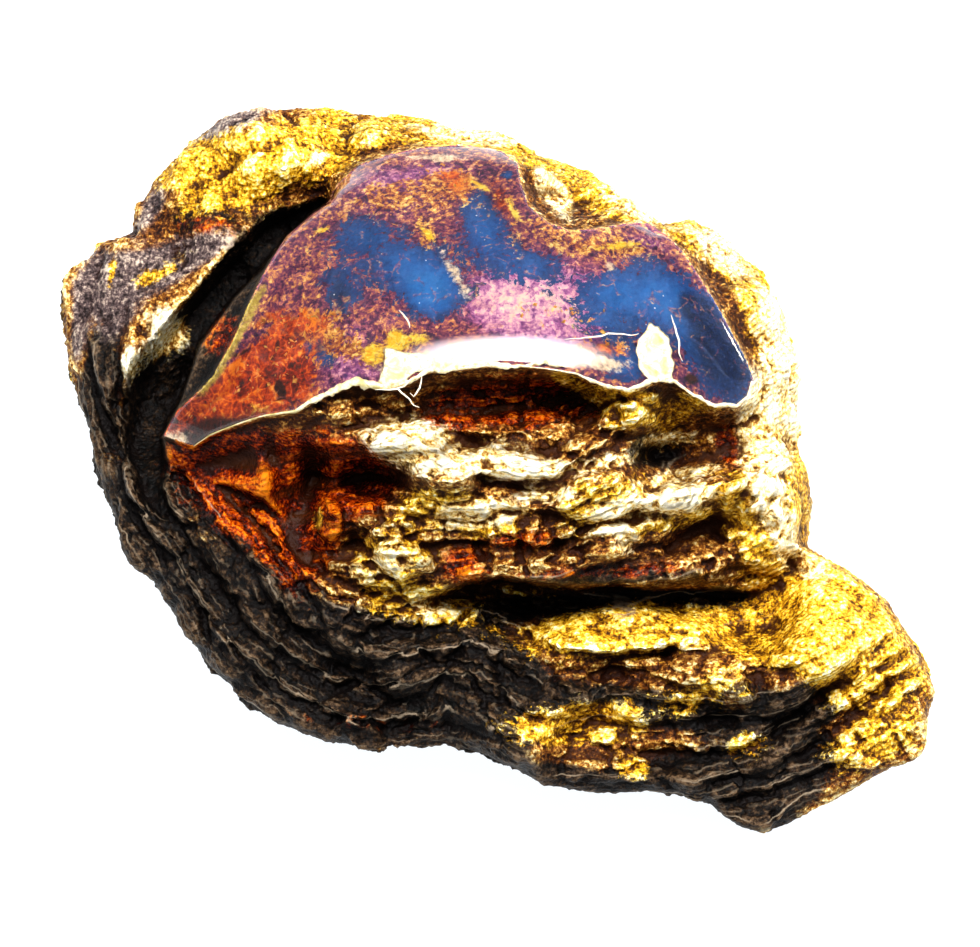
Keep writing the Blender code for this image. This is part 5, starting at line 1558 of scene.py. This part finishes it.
def crust_material():
    """Weathered crust: ochre, gold, cream and umber, and red-brown and glossy where it broke. The gold and
    cream are partly painted light and the umber partly painted shade.
    """
    material, tree, shader = new_material("weathered_crust")
    where = place_in_mm(tree)
    hollow = attribute(tree, "hollow")
    grain = speckle(where, *CRUST_SPECKLE)
    mottles = [speckle(where, *pattern) for pattern in CRUST_MOTTLES]
    colour, shares = crust_patches(where, hollow, grain, mottles)
    gold_and_light = shares["gold_and_light"]
    colour = with_layers(where, colour, shares["umber_and_shade"], gold_and_light, hollow, grain, mottles[1])
    rough = mixed_number(shares["ember"] * (1.0 - gold_and_light), grain * 0.45 + 0.3, 0.16)
    rough = mixed_number(shares["lilac"], rough, 0.3)
    fill(shader, {"Base Color": colour, "Roughness": rough, "Specular IOR Level": 0.16})
    fine, coarse = (speckle(where, *pattern) for pattern in CRUST_BUMPS)
    add_bump(shader, fine * 0.13 + coarse * 0.18 - grains(where, BUMP_GRAIN) * 0.06, 1.0)
    return material


def depths_material():
    """What shows through the window: blue and purple glow, fiery grains and pale haze."""
    material, tree, shader = new_material("amber_depths")
    where = place_in_mm(tree)
    grain = speckle(where, *WINDOW_SPECKLE)
    mottle = speckle(where, *WINDOW_MOTTLE)
    tone = grain * 0.8 + speckle(where, *WINDOW_TONE_SPECKLE) + mottle * 0.7
    tone = tone + grain_number(grains(where, GLINT_GRAIN)) * 0.25 - 0.87
    bent = add_node(tree, "VectorMath", {0: where, 1: speckle(where, *VEIN_BEND, output="Color")})
    vein = between(grains(bent, VEIN_CELL, feature="DISTANCE_TO_EDGE"), 0.1, 0.0)
    tones = {
        "pink": tone + attribute(tree, "pink") * 0.3 - 0.24,
        "blue": attribute(tree, "blue") * 0.4 + mottle * 0.4 + grain * 0.5 - 0.42,
        "navy": grain,
        "hot": tone * 0.6 + speckle(where, *HEAT_SPECKLE) * 0.7 + mottle * 0.9 + vein * 0.16 - 0.64,
    }
    purple = shades(tone, WINDOW_SHADES["purple"])
    colour = purple
    for name, edge in WINDOW_EDGES.items():
        share = ragged_share(attribute(tree, name), mottle, grain, *edge)
        colour = mixed(share, colour, shades(tones.get(name, tone), WINDOW_SHADES[name]))
    spots = grains(where, DOT_GRAIN)
    dots = between(spots, 0.11, 0.07) * between(grain_number(spots), 0.5, 0.6)
    colour = mixed(dots * between(attribute(tree, "blue"), 0.5, 0.7), colour, DEEP_DOTS)
    colour = mixed(vein * between(mottle, 0.50, 0.58) * 0.5, colour, purple)
    fill(shader, {"Base Color": colour, "Roughness": 0.5})
    add_bump(shader, tone * 0.12, 0.6)
    return material


def clear_material():
    """Clear amber: see-through and polished, and weakly tinted through its depth."""
    material, tree, shader = new_material("clear_amber")
    fill(shader, {
        "Base Color": (1.0, 0.98, 0.94), "Transmission Weight": 1.0, "IOR": 1.54, "Roughness": 0.05,
        "Coat Weight": 0.1, "Coat Roughness": 0.18,
    })
    tint = add_node(tree, "VolumeAbsorption", {"Color": (1.0, 0.86, 0.66), "Density": 60.0})
    fill(tree.nodes["Material Output"], {"Volume": tint})
    return material


def two_tone_material(name, dark, light, roughness):
    """A chalky or resinous grain between two colours."""
    material, tree, shader = new_material(name)
    grain = speckle(place_in_mm(tree), *TWO_TONE_SPECKLE)
    colour = shades(grain, list(zip(TWO_TONE_AT, (dark, light))))
    fill(shader, {"Base Color": colour, "Roughness": roughness})
    add_bump(shader, grain * 0.1, 0.8)
    return material


def pale_material():
    """Cream resin chips: lighter along their edges, honey-coloured and mottled inside."""
    material, tree, shader = new_material("pale_chips")
    where = place_in_mm(tree)
    grain = speckle(where, *CHIP_SPECKLE)
    mottle = speckle(where, *CHIP_MOTTLE)
    inside = between(attribute(tree, "edge"), 0.12, 0.35) * between(mottle, 0.60, 0.46)
    colour = mixed(inside, shades(grain, CHIP_SHADES["chalk"]), shades(mottle, CHIP_SHADES["honey"]))
    fill(shader, {"Base Color": colour, "Roughness": 0.4})
    add_bump(shader, (grain + mottle) * 0.12, 0.8)
    return material


def table_floor():
    mesh = bpy.data.meshes.new("table")
    half = FLOOR_SIZE / 2 * MM
    corners = [(-half, -half, 0), (half, -half, 0), (half, half, 0), (-half, half, 0)]
    mesh.from_pydata(corners, [], [(0, 1, 2, 3)])
    material, _, shader = new_material("table")
    fill(shader, {
        "Base Color": TABLE_COLOUR, "Roughness": 0.9,
        "Emission Color": TABLE_GLOW_COLOUR, "Emission Strength": TABLE_GLOW,
    })
    mesh.materials.append(material)
    add_object("table", mesh)


def soft_light(name, place_mm, size_mm, power, colour):
    """A soft oval light that shines at the nodule, and fades from its middle to its edge."""
    light = bpy.data.lights.new(name, "AREA")
    light.shape = "ELLIPSE"
    light.size, light.size_y = (length * MM for length in size_mm)
    light.energy = power
    light.color = colour
    light.use_nodes = True
    tree = light.node_tree
    across = add_node(tree, "NewGeometry", output="Parametric")
    middle = add_node(tree, "VectorMath", {0: across, 1: (0.5, 0.5, 0)}, "Value", operation="DISTANCE")
    fill(tree.nodes["Emission"], {"Strength": between(middle, *LIGHT_FADE)})
    lamp = add_object(name, light)
    lamp.location = Vector(place_mm) * MM
    aim = Vector(LIGHT_AIM) * MM - lamp.location
    lamp.rotation_euler = aim.to_track_quat("-Z", "Y").to_euler()


def studio():
    table_floor()
    for name, light in LIGHTS.items():
        soft_light(name, *light)
    world = bpy.data.worlds.new("world")
    world.use_nodes = True
    fill(world.node_tree.nodes["Background"], {"Color": WORLD_COLOUR, "Strength": WORLD_STRENGTH})
    bpy.context.scene.world = world
    view = bpy.context.scene.view_settings
    view.view_transform = "Standard"
    view.look = "Medium High Contrast"


def viewer():
    """The camera, straight in front of the nodule and VIEW_TILT above the table."""
    data = bpy.data.cameras.new("viewer")
    data.lens = LENS
    data.sensor_width = SENSOR_WIDTH
    data.clip_end = CLIP_END
    camera = add_object("viewer", data)
    distance = LENS / SENSOR_WIDTH * SEEN_WIDTH
    back = Vector((0, -math.cos(VIEW_TILT), math.sin(VIEW_TILT))) * distance
    camera.location = (Vector((*FOOTPRINT_SHIFT, PIVOT_HEIGHT)) + back) * MM
    camera.rotation_euler = (math.pi / 2 - VIEW_TILT, 0, 0)
    bpy.context.scene.camera = camera


def main():
    crust = crust_material()
    rind_pieces(crust, depths_material())
    clear_amber(clear_material())
    gold_flecks(two_tone_material("gold_fleck", *FLECK_LOOK))
    pale = pale_material()
    pale_rim(pale)
    for name, chip in CHIPS.items():
        flat_chip(name, *chip, pale)
    strands(two_tone_material("pale_thread", *STRAND_LOOK))
    studio()
    viewer()


main()
